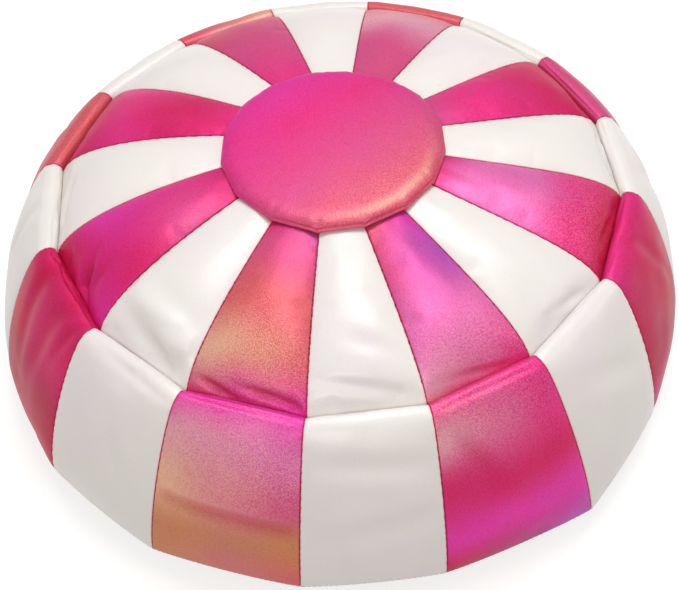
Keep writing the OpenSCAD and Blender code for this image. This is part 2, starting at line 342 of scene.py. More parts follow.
def ripple(i, across, along, depth):
    """Soft hollows and swells in the stuffed leather: waves that cross at three slants, none of
    them at the seams. Each panel's waves start elsewhere."""
    u, v = np.broadcast_arrays(across[None, :], along[:, None])
    a, b, c = (2.4 * i, 1.7 * i + 1, 3.1 * i + 2)
    waves = np.sin(3.4 * u + 7.3 * v + a) + 0.8 * np.sin(-5.1 * u + 11.7 * v + b)
    waves = waves + 0.5 * np.sin(8.3 * u + 17.1 * v + c)
    return depth * waves * pillow(across)[None]


def wedge_sheet(i, across, along):
    """Wedge i as stuffed leather: the sheet between its seams, raised along its normals."""
    flat_sheet = span(wedge_seam(i - 1, along), wedge_seam(i, along), across)
    height = wedge_puff(along)[:, None] * pillow(across)[None]
    height += ripple(i, across, along, 0.16 * MM) * np.clip((1 - along) / 0.2, 0, 1)[:, None]
    return flat_sheet + panel_normals(flat_sheet) * height[..., None]


def sheet_faces(rows, cols, wrap=False):
    """The four-sided faces of a grid, as numbers of points. They face outwards where the rows run
    down or outwards and the columns run round counter-clockwise. A wrapped grid closes round."""
    index = np.arange(rows * cols).reshape(rows, cols)
    if wrap:
        index = np.c_[index, index[:, 0]]
    return np.stack([index[:-1, :-1], index[1:, :-1], index[1:, 1:], index[:-1, 1:]], -1).reshape(-1, 4)


def inflate(sheets, slack, most):
    """Blender's Cloth on the sheets, sewn fast round their borders: each is cut a little slack
    and blown out by the filling for 20 frames. Gives how far each point moved, up to a most."""
    rows, cols = sheets[0].shape[:2]
    mesh = bpy.data.meshes.new("cover before filling")
    mesh.from_pydata(np.concatenate(sheets).reshape(-1, 3), [],
                     np.concatenate([sheet_faces(rows, cols) + j * rows * cols for j in range(len(sheets))]))
    cover = bpy.data.objects.new("cover before filling", mesh)
    bpy.context.collection.objects.link(cover)
    edge = np.ones((rows, cols), bool)
    edge[1:-1, 1:-1] = False
    sewn = np.flatnonzero(np.tile(edge.ravel(), len(sheets)))
    cover.vertex_groups.new(name="sewn").add(sewn.tolist(), 1.0, "REPLACE")
    cloth = cover.modifiers.new("Cloth", "CLOTH")
    cloth.settings.quality = 6
    cloth.settings.mass = 0.3
    cloth.settings.tension_stiffness = cloth.settings.compression_stiffness = 15
    cloth.settings.shear_stiffness = 5
    cloth.settings.bending_stiffness = 12
    cloth.settings.use_pressure = True
    cloth.settings.uniform_pressure_force = 4
    cloth.settings.vertex_group_mass = "sewn"
    cloth.settings.shrink_min = -slack
    cloth.settings.effector_weights.gravity = 0
    cloth.collision_settings.use_collision = False
    cloth.point_cache.frame_start, cloth.point_cache.frame_end = 1, 20
    for number in range(1, 21):
        bpy.context.scene.frame_set(number)
    blown = np.empty(len(mesh.vertices) * 3, np.float32)
    cover.evaluated_get(bpy.context.evaluated_depsgraph_get()).data.vertices.foreach_get("co", blown)
    bpy.data.objects.remove(cover)
    bpy.data.meshes.remove(mesh)
    bpy.context.scene.frame_set(1)
    moved = blown.reshape(-1, rows, cols, 3).astype(float) - np.array(sheets)
    length = np.linalg.norm(moved, axis=-1, keepdims=True)
    return moved * np.minimum(1, most / np.maximum(length, 1e-9))


def resample(grid, across, along, coarse_across, coarse_along):
    """A coarse grid of moves read smoothly at the places of a fine one."""
    rows = smooth_through(grid, np.interp(along, coarse_along, np.linspace(0, 1, len(coarse_along))))
    places = np.interp(across, coarse_across, np.linspace(0, 1, len(coarse_across)))
    fine = smooth_through(rows.transpose(1, 0, 2), places)
    return fine.transpose(1, 0, 2)


coarse_across, coarse_along = np.linspace(-1, 1, 19), np.linspace(0, 1, 33)
fine_across, fine_along = crowded(45), np.linspace(0, 1, 89)
wedge_moves = np.zeros((panels, 33, 19, 3))
wedge_moves = inflate([wedge_sheet(i, coarse_across, coarse_along) for i in range(1, panels + 1)], 0.004,
                      4 * MM)
wedge_moves *= np.interp(coarse_along, [0, 0.3, 0.75], [0.1, 0.25, 0.9])[None, :, None, None]
wedge_fine = {
    i: wedge_sheet(i, fine_across, fine_along)
    + resample(wedge_moves[i - 1], fine_across, fine_along, coarse_across, coarse_along)
    for i in range(1, panels + 1)
}


def make_piece(name, points, faces, material, smooth=True):
    """One named object with its place in its mesh."""
    mesh = bpy.data.meshes.new(name)
    mesh.from_pydata(points, [], faces)
    mesh.polygons.foreach_set("use_smooth", np.full(len(mesh.polygons), smooth))
    mesh.materials.append(material)
    piece = bpy.data.objects.new(name, mesh)
    bpy.context.collection.objects.link(piece)
    return piece


def keep_value(piece, name, values):
    """Stores one number a point on the piece, for its material."""
    kept = piece.data.attributes.new(name, "FLOAT", "POINT")
    kept.data.foreach_set("value", np.asarray(values, np.float32).ravel())


def keep_colour(piece, name, colours):
    """Stores one colour a point on the piece, for its material."""
    colours = np.asarray(colours, np.float32).reshape(-1, 3)
    piece.data.attributes.new(name, "FLOAT_COLOR", "POINT").data.foreach_set(
        "color", np.c_[colours, np.ones(len(colours), np.float32)].ravel())


def thicken(piece, thickness):
    """Gives a sheet its thickness, inwards."""
    solid = piece.modifiers.new("thickness", "SOLIDIFY")
    solid.thickness, solid.offset, solid.use_even_offset = thickness, -1, False


def nearest_seen(x, y, tree):
    """Where the ray through an image point meets a surface, or the nearest place to the ray."""
    ray = sight(x, y)
    hit = tree.ray_cast(camera_place, ray)
    if hit[0] is not None:
        return hit[0]
    closest = [tree.find_nearest(camera_place + ray * d) for d in np.linspace(0.5, 1.3, 81) * camera_distance]
    return min(closest, key=lambda h: h[3])[0]


def creased(points, normals, middle, heading, length, width, depth):
    """The leather pushed in along a short line: a bell of that width across the heading and that
    length along it, with a low ridge on each side. A depth below nothing makes a ridge. It dies out
    at the panel's seams and ends. Gives the points and how deep each lies in the crease, from 0 to 1."""
    away = points - np.array(middle)
    along = away @ heading
    side = np.cross(normals, heading)
    across = (away * side).sum(-1) / width
    bell = np.exp(-(along / length) ** 2) * (1 - 0.55 * across ** 2) * np.exp(-across ** 2 / 2)
    share = np.linspace(0, 1, len(points))[:, None]
    bell *= np.clip(3 * (1 - fine_across ** 2), 0, 1)[None] * np.clip(30 * np.minimum(share, 1 - share), 0, 1)
    return points - normals * (depth * bell)[..., None], np.clip(bell, 0, 1) * min(max(depth, 0) / (5 * MM), 1)


# Folds near the rim, where the stuffing pushes the leather together: the wedge, its point in
# the picture or its place across and along, the fold's heading from straight out, in degrees,
# and its length, width and depth in mm
wedge_folds = [
    (14, "fold in top wedge 14", 22, 17, 3.6, 6.0),
    (14, (0.35, 0.86), 10, 16, 5.0, 2.0),
    (15, "fold in top wedge 15", 84, 24, 9.0, 3.4),
    (15, (0.0, 0.77), 88, 34, 9.0, -3.0),
    (15, (0.62, 0.84), 130, 14, 6.0, -1.6),
    (16, (-0.45, 0.945), 84, 15, 3.0, 2.6),
    (16, (0.25, 0.92), 97, 14, 2.8, 2.8),
    (16, (0.75, 0.945), 84, 11, 2.8, 2.0),
    (1, (-0.1, 0.88), 88, 34, 5.0, 2.0),
    (1, (0.3, 0.7), 70, 18, 7.0, 1.2),
    (5, (0.2, 0.92), 80, 14, 4.0, 2.0),
    (6, (-0.2, 0.93), 96, 16, 4.0, 2.4),
    (9, (0.3, 0.9), 60, 16, 5.0, 1.8),
    (11, (-0.2, 0.9), 110, 16, 5.0, 1.8),
    (13, (0.1, 0.9), 75, 18, 4.5, 2.6),
    (3, (0.2, 0.93), 86, 20, 3.5, 1.4),
    (2, (0.1, 0.94), 92, 22, 3.0, 1.6),
    (4, (0.0, 0.93), 88, 20, 3.0, 1.6),
    (12, (0.1, 0.92), 80, 18, 3.5, 2.0),
]
fold_places = {}
wedge_creases = {i: np.zeros(wedge_fine[i].shape[:2]) for i in wedge_fine}
for i, place, heading, length, width, depth in wedge_folds:
    grid = wedge_fine[i]
    if isinstance(place, str):
        tree = BVHTree.FromPolygons(grid.reshape(-1, 3).tolist(), sheet_faces(*grid.shape[:2]).tolist())
        middle = nearest_seen(*image_points[place], tree)
        fold_places[place] = middle
    else:
        row, col = (np.abs(fine_along - place[1]).argmin(), np.abs(fine_across - place[0]).argmin())
        middle = Vector(grid[row, col])
    out_angle = math.atan2(middle.y, middle.x) + math.radians(heading)
    wedge_fine[i], crease = creased(grid, panel_normals(grid), middle,
                                    np.array((math.cos(out_angle), math.sin(out_angle), -0.25)),
                                    length * MM, width * MM, depth * MM)
    wedge_creases[i] = np.maximum(wedge_creases[i], crease)

# Over each pink panel the colour runs from crimson through violet to gold: the coating's pink with
# its iridescent sheen painted on, and painted highlights and shade.
shades = {
    "pearl": "eeeae6", "crimson": "cc1144", "cherry": "bb1133", "raspberry": "dd2266",
    "hot_pink": "ee3388", "magenta": "ee33aa", "rose": "dd5588", "orchid": "ee77bb",
    "violet": "bb55bb", "blush": "eeaabb", "coral": "dd6666", "peach": "eebb99", "gold": "cc8855",
    "ivory": "eeeedd", "lilac": "eeddee", "grey": "bbbbbb", "light_grey": "dddddd",
}
# Each pink wedge's colours from the patch to the rim, with the painted sheen, highlights and shade
# in them, left / right where they differ
top_shades = {
    2: "coral/magenta rose/violet orchid blush/hot_pink",
    4: "raspberry orchid orchid hot_pink crimson",
    6: "rose hot_pink raspberry crimson",
    8: "rose rose blush coral",
    10: "hot_pink rose coral",
    12: "hot_pink raspberry hot_pink crimson",
    14: "raspberry hot_pink/rose magenta/raspberry crimson/magenta",
    16: "raspberry/violet rose coral peach/coral rose/magenta",
}


def shade_at(names, across, along):
    """The colour over a panel: its rows of shades at even steps, blended smoothly across and on to
    the next row, with the rows waving a little."""
    rows = []
    for word in names.split():
        row = [srgb(shades[n]) ** (1 / 2.2) for n in word.split("/")]
        rows.append([row[0], (row[0] + row[-1]) / 2, row[-1]])
    rows = np.array(rows)
    u, v = np.broadcast_arrays(across[None, :], along[:, None])
    waved = v + 0.02 * np.sin(2.1 * u + 9 * v) + 0.012 * np.sin(5.3 * u - 4 * v)
    share = np.clip(waved, 0, 1) * (len(rows) - 1)
    i = np.minimum(share.astype(int), len(rows) - 2)
    f = (share - i)[..., None, None]
    f = f * f * (3 - 2 * f)
    row = rows[i] * (1 - f) + rows[i + 1] * f
    side = np.clip(u / 0.75 + 0.12 * np.sin(7 * v), -1, 1)[..., None]
    part = np.abs(side) ** 1.3
    return (row[..., 1, :] * (1 - part) + np.where(side < 0, row[..., 0, :], row[..., 2, :]) * part) ** 2.2


def group_of(name, takes, gives):
    """An empty shader group with its named inputs, each with a value to start from, and outputs."""
    group = bpy.data.node_groups.new(name, "ShaderNodeTree")
    for socket, kind, value in takes:
        group.interface.new_socket(socket, in_out="INPUT", socket_type=kind).default_value = value
    for socket, kind in gives:
        group.interface.new_socket(socket, in_out="OUTPUT", socket_type=kind)
    return group, group.nodes.new("NodeGroupInput"), group.nodes.new("NodeGroupOutput")


# Pebble grain pressed into the coating: rounded cells a little over a millimetre wide, drawn
# out of round by a slow swirl, with finer wrinkles on them. Besides its height it gives a mask of
# its valleys, for painted shade, and of its crests, for painted glints
pebble, taken, given = group_of("pebble grain", [("Cells a metre", "NodeSocketFloat", 900.0)],
                                [("Height", "NodeSocketFloat"), ("Valley", "NodeSocketFloat"),
                                 ("Painted Glint", "NodeSocketFloat")])
place = add_node(pebble, "ShaderNodeTexCoord").outputs["Object"]
swirl = add_node(pebble, "ShaderNodeTexNoise", {"Vector": place, "Scale": 210.0, "Detail": 1.0})
swirl = add_node(pebble, "ShaderNodeVectorMath", {0: swirl.outputs["Color"], "Scale": 0.0022},
                 operation="SCALE")
place = add_node(pebble, "ShaderNodeVectorMath", {0: place, 1: swirl.outputs[0]}, operation="ADD").outputs[0]
cells = add_node(pebble, "ShaderNodeTexVoronoi", {"Vector": place, "Scale": taken.outputs[0],
                                                  "Smoothness": 0.45}, feature="SMOOTH_F1")
fine = add_node(pebble, "ShaderNodeTexNoise", {"Vector": place, "Scale": 1900.0, "Detail": 2.0})
dome = maths(pebble, "SUBTRACT", 1.0, cells.outputs["Distance"])
height = maths(pebble, "MULTIPLY_ADD", fine.outputs[0], 0.22, dome.outputs[0])
valley = rescale(pebble, cells.outputs["Distance"], 0.35, 0.75)
patchy = add_node(pebble, "ShaderNodeTexNoise", {"Vector": place, "Scale": 700.0, "Detail": 1.0})
patchy = rescale(pebble, patchy.outputs[0], 0.35, 0.65, 0.4)
crest = rescale(pebble, cells.outputs["Distance"], 0.62, 0.3)
painted_glint = maths(pebble, "MULTIPLY", crest.outputs[0], patchy.outputs[0])
for socket, source in (("Height", height), ("Valley", valley), ("Painted Glint", painted_glint)):
    pebble.links.new(source.outputs[0], given.inputs[socket])

# Drift: slow, soft mottling, which the leather's colour and gloss both follow
drift, taken, given = group_of("slow mottling", [("Size", "NodeSocketFloat", 14.0),
                                                 ("Low", "NodeSocketFloat", 0.0),
                                                 ("High", "NodeSocketFloat",
                                                  1.0)], [("Amount", "NodeSocketFloat")])
place = add_node(drift, "ShaderNodeTexCoord").outputs["Object"]
noise = add_node(drift, "ShaderNodeTexNoise", {
    "Vector": place, "Scale": taken.outputs[0], "Detail": 3.0, "Roughness": 0.55})
amount = rescale(drift, noise.outputs[0], 0.32, 0.68, taken.outputs[1], taken.outputs[2])
drift.links.new(amount.outputs[0], given.inputs[0])


def blend_colour(tree, factor, a, b, how="MIX"):
    """A colour between two, or the first changed by the second, by a factor."""
    mixed = add_node(tree, "ShaderNodeMix", {0: factor, 6: a, 7: b}, data_type="RGBA", blend_type=how)
    return mixed.outputs[2]


def rgba(code):
    """A written colour with full cover, for a colour socket."""
    return (*srgb(code), 1)


# Pink coating: the panel's colours with their painted iridescent sheen, painted gold highlights on
# the pebbles where the sheen turns, painted shade in the grain's valleys, a deeper crimson painted
# shade in the seams and folds, and a clear satin coat
pink_leather, tree, out = new_material("iridescent pink leather")
grain = add_node(tree, "ShaderNodeGroup", {"Cells a metre": 1050.0}, node_tree=pebble)
# Kept colours: the panel's pink with its iridescent sheen, highlights and shade painted in
colour_and_sheen = add_node(tree, "ShaderNodeAttribute", attribute_name="colour_and_sheen").outputs["Color"]
sheen_turn = add_node(tree, "ShaderNodeAttribute", attribute_name="glint").outputs["Fac"]
painted_seam_shade = add_node(tree, "ShaderNodeAttribute", attribute_name="seam").outputs["Fac"]
mottle = add_node(tree, "ShaderNodeGroup", {"Size": 16.0, "Low": 0.0, "High": 0.16}, node_tree=drift)
colour = blend_colour(tree, mottle.outputs[0], colour_and_sheen, rgba(shades["violet"]))
# Painted highlights: peach on the pebble crests where the gold sheen turns
painted_specks = maths(tree, "MULTIPLY", sheen_turn, grain.outputs["Painted Glint"])
colour = blend_colour(tree, painted_specks.outputs[0], colour, rgba(shades["peach"]))
# Painted shade: the grain's valleys darkened towards cherry
painted_valley_shade = maths(tree, "MULTIPLY", grain.outputs["Valley"], 0.22)
colour = blend_colour(tree, painted_valley_shade.outputs[0], colour, rgba(shades["cherry"]))
# Painted shade: the seams and folds darkened towards cherry
colour = blend_colour(tree, painted_seam_shade, colour, rgba(shades["cherry"]))
gloss = add_node(tree, "ShaderNodeGroup", {"Size": 30.0, "Low": 0.4, "High": 0.5}, node_tree=drift)
relief = add_node(tree, "ShaderNodeMapRange", {"Value": sheen_turn, "To Min": 0.3})
relief = maths(tree, "MULTIPLY", relief.outputs[0], grain.outputs["Height"])
bump = add_node(tree, "ShaderNodeBump", {"Height": relief.outputs[0], "Strength": 0.8, "Distance": 0.0004})
paint = add_node(tree, "ShaderNodeBsdfPrincipled", {
    "Base Color": colour, "Roughness": gloss.outputs[0], "Normal": bump.outputs[0], "Metallic": 0.35,
    "Specular IOR Level": 0.12, "Coat Weight": 0.1, "Coat Roughness": 0.24,
})
tree.links.new(paint.outputs[0], out.inputs["Surface"])

# White coating: pearl with faint ivory and lilac drifts, a painted grey shade in the grain's
# valleys, and a painted blush-coloured shade along the seams
white_leather, tree, out = new_material("pearl white leather")
grain = add_node(tree, "ShaderNodeGroup", {"Cells a metre": 900.0}, node_tree=pebble)
painted_seam_shade = add_node(tree, "ShaderNodeAttribute", attribute_name="seam").outputs["Fac"]
ivory = add_node(tree, "ShaderNodeGroup", {"Size": 7.0, "Low": 0.0, "High": 0.25}, node_tree=drift)
colour_and_sheen = add_node(tree, "ShaderNodeAttribute", attribute_name="colour_and_sheen").outputs["Color"]
colour = blend_colour(tree, ivory.outputs[0], colour_and_sheen, rgba(shades["ivory"]))
lilac = add_node(tree, "ShaderNodeGroup", {"Size": 9.5, "Low": -0.25, "High": 0.35}, node_tree=drift)
lilac = maths(tree, "MAXIMUM", lilac.outputs[0], 0.0)
colour = blend_colour(tree, lilac.outputs[0], colour, rgba(shades["lilac"]))
# Painted shade: the grain's valleys a little greyer
painted_valley_shade = maths(tree, "MULTIPLY", grain.outputs["Valley"], 0.05)
colour = blend_colour(tree, painted_valley_shade.outputs[0], colour, rgba(shades["grey"]))
# Painted shade along the seams, tinted blush
colour = blend_colour(tree, painted_seam_shade, colour, rgba(shades["blush"]))
gloss = add_node(tree, "ShaderNodeGroup", {"Size": 30.0, "Low": 0.32, "High": 0.42}, node_tree=drift)
bump = add_node(tree, "ShaderNodeBump", {"Height": grain.outputs["Height"], "Strength": 0.25,
                                         "Distance": 0.0002})
paint = add_node(tree, "ShaderNodeBsdfPrincipled", {
    "Base Color": colour, "Roughness": gloss.outputs[0], "Normal": bump.outputs[0],
    "Specular IOR Level": 0.5, "Coat Weight": 0.22, "Coat Roughness": 0.18,
})
tree.links.new(paint.outputs[0], out.inputs["Surface"])


def inwards(points):
    """Level directions from the points towards the middle of the pouf."""
    level_part = points * np.array((-1, -1, 0))
    return level_part / np.maximum(np.linalg.norm(level_part, axis=-1, keepdims=True), 1e-9)


def turned_in(points, normals, above=None, below=None):
    """Adds the turned-in leather to a panel: a strip 3 mm down into both side seams, and above or
    below it, where given, a strip that runs so far in and so far down."""
    dip = -normals * 3 * MM
    grid = np.concatenate([points[:, :1] + dip[:, :1], points, points[:, -1:] + dip[:, -1:]], 1)
    for strip, row in ((above, 0), (below, -1)):
        if strip:
            new = grid[[row]] + inwards(grid[[row]]) * strip[0] * MM - np.array((0, 0, strip[1] * MM))
            grid = np.concatenate([new, grid] if row == 0 else [grid, new])
    return grid


def padded_out(values, above, below):
    """Carries values kept for a panel's points out over its turned-in strips."""
    return np.pad(values, ((int(bool(above)), int(bool(below))), (1, 1)) + ((0, 0),) * (values.ndim - 2),
                  mode="edge")


seam_radius = 0.75 * MM


def into_edge(points, row):
    """The leather's quarter-round dip into the seam at the lower edge, inwards and a little up."""
    d = np.minimum(np.linalg.norm(points - points[[row]], axis=-1), seam_radius)
    drop = seam_radius - np.sqrt(seam_radius ** 2 - (seam_radius - d) ** 2)
    return points + (0.9 * inwards(points) + np.array((0, 0, 0.4))) * drop[..., None], d


def sew_panel(name, i, points, colours, glint, creases, above, below, edge_row=None):
    """One leather panel: dips at its seams, turned-in strips, thickness, colours with their painted sheen,
    painted shade along its seams and folds, and material.
    """
    normals = panel_normals(points)
    drop, distance = seam_drop(points, seam_radius)
    run = np.cumsum(np.r_[0, np.linalg.norm(np.diff(points[:, len(points[0]) // 2], axis=0), axis=1)])[:, None]
    tug = (1 + np.sin(run / (1.25 * MM) + 2 * np.sin(run / (9 * MM))
                      + i)) * np.exp(-(distance / (3.5 * MM)) ** 1.5)
    points = points - normals * (drop + 0.16 * MM * tug)[..., None]
    if edge_row is not None:
        points, edge_distance = into_edge(points, edge_row)
        distance = np.where(edge_distance < seam_radius, np.minimum(distance, edge_distance), distance)
    grid = turned_in(points, normals, above, below)
    pink = i % 2 == 0
    panel = make_piece(name, grid.reshape(-1, 3), sheet_faces(*grid.shape[:2]),
                       pink_leather if pink else white_leather)
    # How strongly each point takes painted shade: along the seams, and in the folds of the pink panels
    shaded = np.maximum(0.9 * np.exp(-(distance / (0.55 * MM)) ** 2), 0.75 * creases * pink)
    keep_value(panel, "seam", padded_out(shaded, above, below))
    # The panel's colours, with its painted sheen, highlights and shade
    keep_colour(panel, "colour_and_sheen", padded_out(colours, above, below))
    if pink:
        # How strongly the painted gold highlights show on the pebbles
        keep_value(panel, "glint", padded_out(glint, above, below))
    thicken(panel, leather_t)
    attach(panel, "pouf")
    return panel


# Where the painted gold sheen and highlights lie on the wedges: wedge, place across and along, reach, strength
wedge_glints = {16: (-0.2, 0.78, 0.17, 0.55), 2: (0.2, 0.82, 0.14, 0.4), 4: (0.0, 0.75, 0.2, 0.25)}


def glint_over(spot, across, along):
    """A soft spot of the painted gold sheen and highlights: a bell round a place on the panel, over a faint
    ground.
    """
    u, v = np.broadcast_arrays(across[None, :], along[:, None])
    if spot is None:
        return 0.02 + 0 * u * v
    return 0.02 + spot[3] * np.exp(-((u - spot[0]) / 1.6) ** 2 - ((v - spot[1]) / spot[2]) ** 2)


for i in range(1, panels + 1):
    colours = shade_at(top_shades.get(i, "pearl pearl"), fine_across, fine_along)
    wedge = sew_panel(f"wedge_{i}", i, wedge_fine[i], colours,
                      glint_over(wedge_glints.get(i), fine_across, fine_along), wedge_creases[i], None, (0, 8))
    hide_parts(f"top_wedge_{i}")

# ---- Side panels ------------------------------------------------------------------------
# Sixteen leather panels, each the colour of the wedge above it. From the rim seam the leather
# rolls up over its own turned-in edge, falls outwards, and comes down to the straight lower edge.
edge_r, edge_h = 269 * MM, 20 * MM
# The roll over the rim seam ends this far outside it and above it. The curves below are drawn
# towards the points between their ends: first up, then level, then down to the lower edge.
roll_out, roll_end = 11.5 * MM, 5.5 * MM
roll = bezier([
    (rim_r, rim_h), (rim_r, rim_h + 7.5 * MM), (rim_r + 5 * MM, rim_h + 9
                                                * MM), (rim_r + roll_out, rim_h + roll_end),
])
fall = bezier([
    (rim_r + roll_out, rim_h + roll_end), (rim_r + 22 * MM,
                                           rim_h), (edge_r - 4 * MM, edge_h + 45 * MM), (edge_r, edge_h),
])
side_profile = np.concatenate([roll, fall[1:]])
# The lower corners in view sit where the photograph shows them. The rest are on an even ring that
# the filling has pushed a little to the left.
edge_shift = 5 * MM
edge_angle = -math.pi / 2 + np.arange(panels) * step
edge_out, edge_round = -edge_shift * np.cos(edge_angle), edge_shift * np.sin(edge_angle)
for k, (out_by, round_by) in corner_moves("lower corner", (0, 2), edge_r, edge_h).items():
    edge_out[k], edge_round[k] = out_by, round_by


# How far each panel's lower edge bows out between its corners, in mm
edge_bow = 2.2


def side_seam(k, along):
    """Side seam k from the rim down: the sides' profile turned to the seam's angle, running
    straight from the rim corner to the lower corner."""
    k = k % panels
    angle = -math.pi / 2 + k * step
    path = even_path(side_profile, along)
    out_by = path[:, 0] + rim_out[k] * (1 - along) + edge_out[k] * along
    wander = rim_round[k] * (1 - along) + edge_round[k] * along
    return turned(angle, out_by, wander, path[:, 1] + 0.5 * lean(angle, along))


def side_puff(along):
    """How far a side panel stands off its seams: a little over the roll, most below it, and a
    bow at the lower edge."""
    heights = smooth_through([0, 1.6, 4.0, 5.6, 6.6, 6.8, 6.2, 4.6 + 0.25 * edge_bow, edge_bow],
                             np.linspace(0, 1, 65))
    return np.interp(along, np.linspace(0, 1, 65), heights) * MM


def side_sheet(i, across, along):
    """Side panel i as stuffed leather. It bows straight outwards at the lower edge, so that the
    edge stays level, and along its normals above."""
    flat_sheet = span(side_seam(i - 1, along), side_seam(i, along), across)
    normals = panel_normals(flat_sheet)
    outwards = flat_sheet * np.array([1, 1, 0])
    outwards /= np.linalg.norm(outwards, axis=-1, keepdims=True)
    low = np.clip((along - 0.75) / 0.25, 0, 1)[:, None, None]
    height = side_puff(along)[:, None] * pillow(across)[None]
    away_from_ends = np.clip(along / 0.2, 0, 1) * np.clip((1 - along) / 0.2, 0, 1)
    height += ripple(i + 5, across, along, 0.3 * MM) * away_from_ends[:, None]
    return flat_sheet + (normals * (1 - low) + outwards * low) * height[..., None]


side_along = np.interp(np.linspace(0, 1, 93), [0, 0.25, 1], [0, 0.14, 1])
side_moves = np.zeros((panels, 33, 19, 3))
side_moves = inflate([side_sheet(i, coarse_across, coarse_along) for i in range(1, panels + 1)], 0.003, 3
                     * MM)
side_fine = {
    i: side_sheet(i, fine_across, side_along)
    + resample(side_moves[i - 1], fine_across, side_along, coarse_across, coarse_along)
    for i in range(1, panels + 1)
}

# Soft pleats and dents on the sides: panel, place across and along, heading, length, width, depth
side_folds = [
    (16, (0.0, 0.60), 87, 75, 5.5, 2.4), (16, (-0.2, 0.075), 88, 40, 1.8,
                                          0.9), (1, (0.1, 0.3), 84, 40, 8.0, 1.5),
    (1, (0.2, 0.62), 100, 40, 10, 1.2), (15, (0.2, 0.12), 88, 30, 3.5,
                                         1.2), (15, (0.3, 0.55), 20, 26, 8.0, 1.5),
    (2, (-0.5, 0.34), 30, 22, 7.0, 1.6), (2, (0.1, 0.1), 90, 34, 2.2,
                                          0.8), (14, (-0.35, 0.3), 8, 44, 7.0, 1.8),
    (14, (0.3, 0.36), -8, 40, 7.0, 1.6), (14, (0.75, 0.2), -16, 22, 4.5,
                                          1.4), (3, (0.1, 0.4), 60, 30, 9.0, 1.2),
    (5, (0.0, 0.35), 30, 30, 8.0, 1.4), (7, (0.2, 0.4), 100, 30, 8.0, 1.4), (9, (-0.2, 0.5), 80, 34, 8.0, 1.5),
    (11, (0.3, 0.45), 10, 30, 7.0, 1.4), (12, (-0.2, 0.4), 0, 36, 6.0,
                                          1.6), (8, (0.1, 0.55), 95, 30, 8.0, 1.4),
    (10, (-0.1, 0.5), 15, 30, 7.0, 1.5), (13, (0.0, 0.3), 4, 36, 6.0, 1.8), (6, (0.1, 0.55), 88, 44, 7.0, 1.6),
    (4, (0.2, 0.3), 20, 34, 6.0, 1.4),
]
side_creases = {i: np.zeros(side_fine[i].shape[:2]) for i in side_fine}
for i, place, heading, length, width, depth in side_folds:
    grid = side_fine[i]
    row, col = (np.abs(side_along - place[1]).argmin(), np.abs(fine_across - place[0]).argmin())
    down = grid[min(row + 3, len(grid) - 1), col] - grid[row - 3, col]
    over = grid[row, col + 2] - grid[row, col - 2]
    down, over = down / np.linalg.norm(down), over / np.linalg.norm(over)
    heading = math.radians(heading)
    side_fine[i], crease = creased(grid, panel_normals(grid), grid[row, col],
                                   math.cos(heading) * down + math.sin(heading) * over, length * MM, width
                                   * MM, depth * MM)
    side_creases[i] = np.maximum(side_creases[i], crease)

# Each pink side panel's colours from the rim down, with the painted sheen, the painted highlight on
# the roll and painted shade in them, left / right where they differ
side_shades = {
    2: "hot_pink blush/hot_pink raspberry magenta crimson/violet",
    4: "hot_pink crimson cherry rose",
    6: "rose raspberry",
    8: "coral rose",
    10: "peach/coral rose",
    12: "coral raspberry",
    14: "raspberry crimson/raspberry cherry crimson",
    16: "magenta blush/orchid peach/rose gold gold/coral",
}
# Where the painted gold sheen and highlights lie on the sides: panel, place across and along, reach, strength
side_glints = {
    16: (0.0, 0.34, 0.2, 0.75), 2: (-0.8, 0.18, 0.16, 0.5), 12: (0.0, 0.3, 0.2, 0.3), 8: (0.2, 0.3, 0.2, 0.4),
}
for i in range(1, panels + 1):
    colours = shade_at(side_shades.get(i, "pearl pearl"), fine_across, side_along)
    side = sew_panel(f"side_{i}", i, side_fine[i], colours,
                     glint_over(side_glints.get(i), fine_across, side_along),
                     side_creases[i], (0, 8), (8, 0), edge_row=-1)
    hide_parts(f"side_panel_{i}")

# ---- Seam stitches ----------------------------------------------------------------------
# Doubled polyester thread in a lockstitch, four millimetres a stitch. The leather rolls into
# each seam from both sides, so only the tops of the stitches show at the bottom of the valley.
stitch_pitch, stitch_l, stitch_r = 3.8 * MM, 3.1 * MM, 0.36 * MM

# Thread: two plies twisted together, drawn by the ply attribute, which counts turns
def thread_material(name, light, dark):
    """Twisted polyester: a lighter and a darker stripe wound round each stitch, the darker one painted shade
    in the groove between the plies, with a soft gloss.
    """
    material, tree, out = new_material(name)
    ply = add_node(tree, "ShaderNodeAttribute", attribute_name="ply").outputs["Fac"]
    wave = maths(tree, "SINE", ply)
    shade = rescale(tree, wave.outputs[0], -1.0, 0.4)
    mottle = add_node(tree, "ShaderNodeGroup", {"Size": 60.0, "Low": 0.5, "High": 0.72}, node_tree=drift)
    bump = add_node(tree, "ShaderNodeBump", {"Height": shade.outputs[0], "Strength": 0.6, "Distance": 0.00012})
    paint = add_node(tree, "ShaderNodeBsdfPrincipled", {
        "Base Color": blend_colour(tree, shade.outputs[0], rgba(dark),
                                   rgba(light)), "Roughness": mottle.outputs[0],
        "Normal": bump.outputs[0], "Sheen Weight": 0.3, "Sheen Roughness": 0.35,
    })
    tree.links.new(paint.outputs[0], out.inputs["Surface"])
    return material


pink_thread = thread_material("dark pink thread", shades["raspberry"], shades["cherry"])
white_thread = thread_material("white thread", shades["light_grey"], shades["grey"])


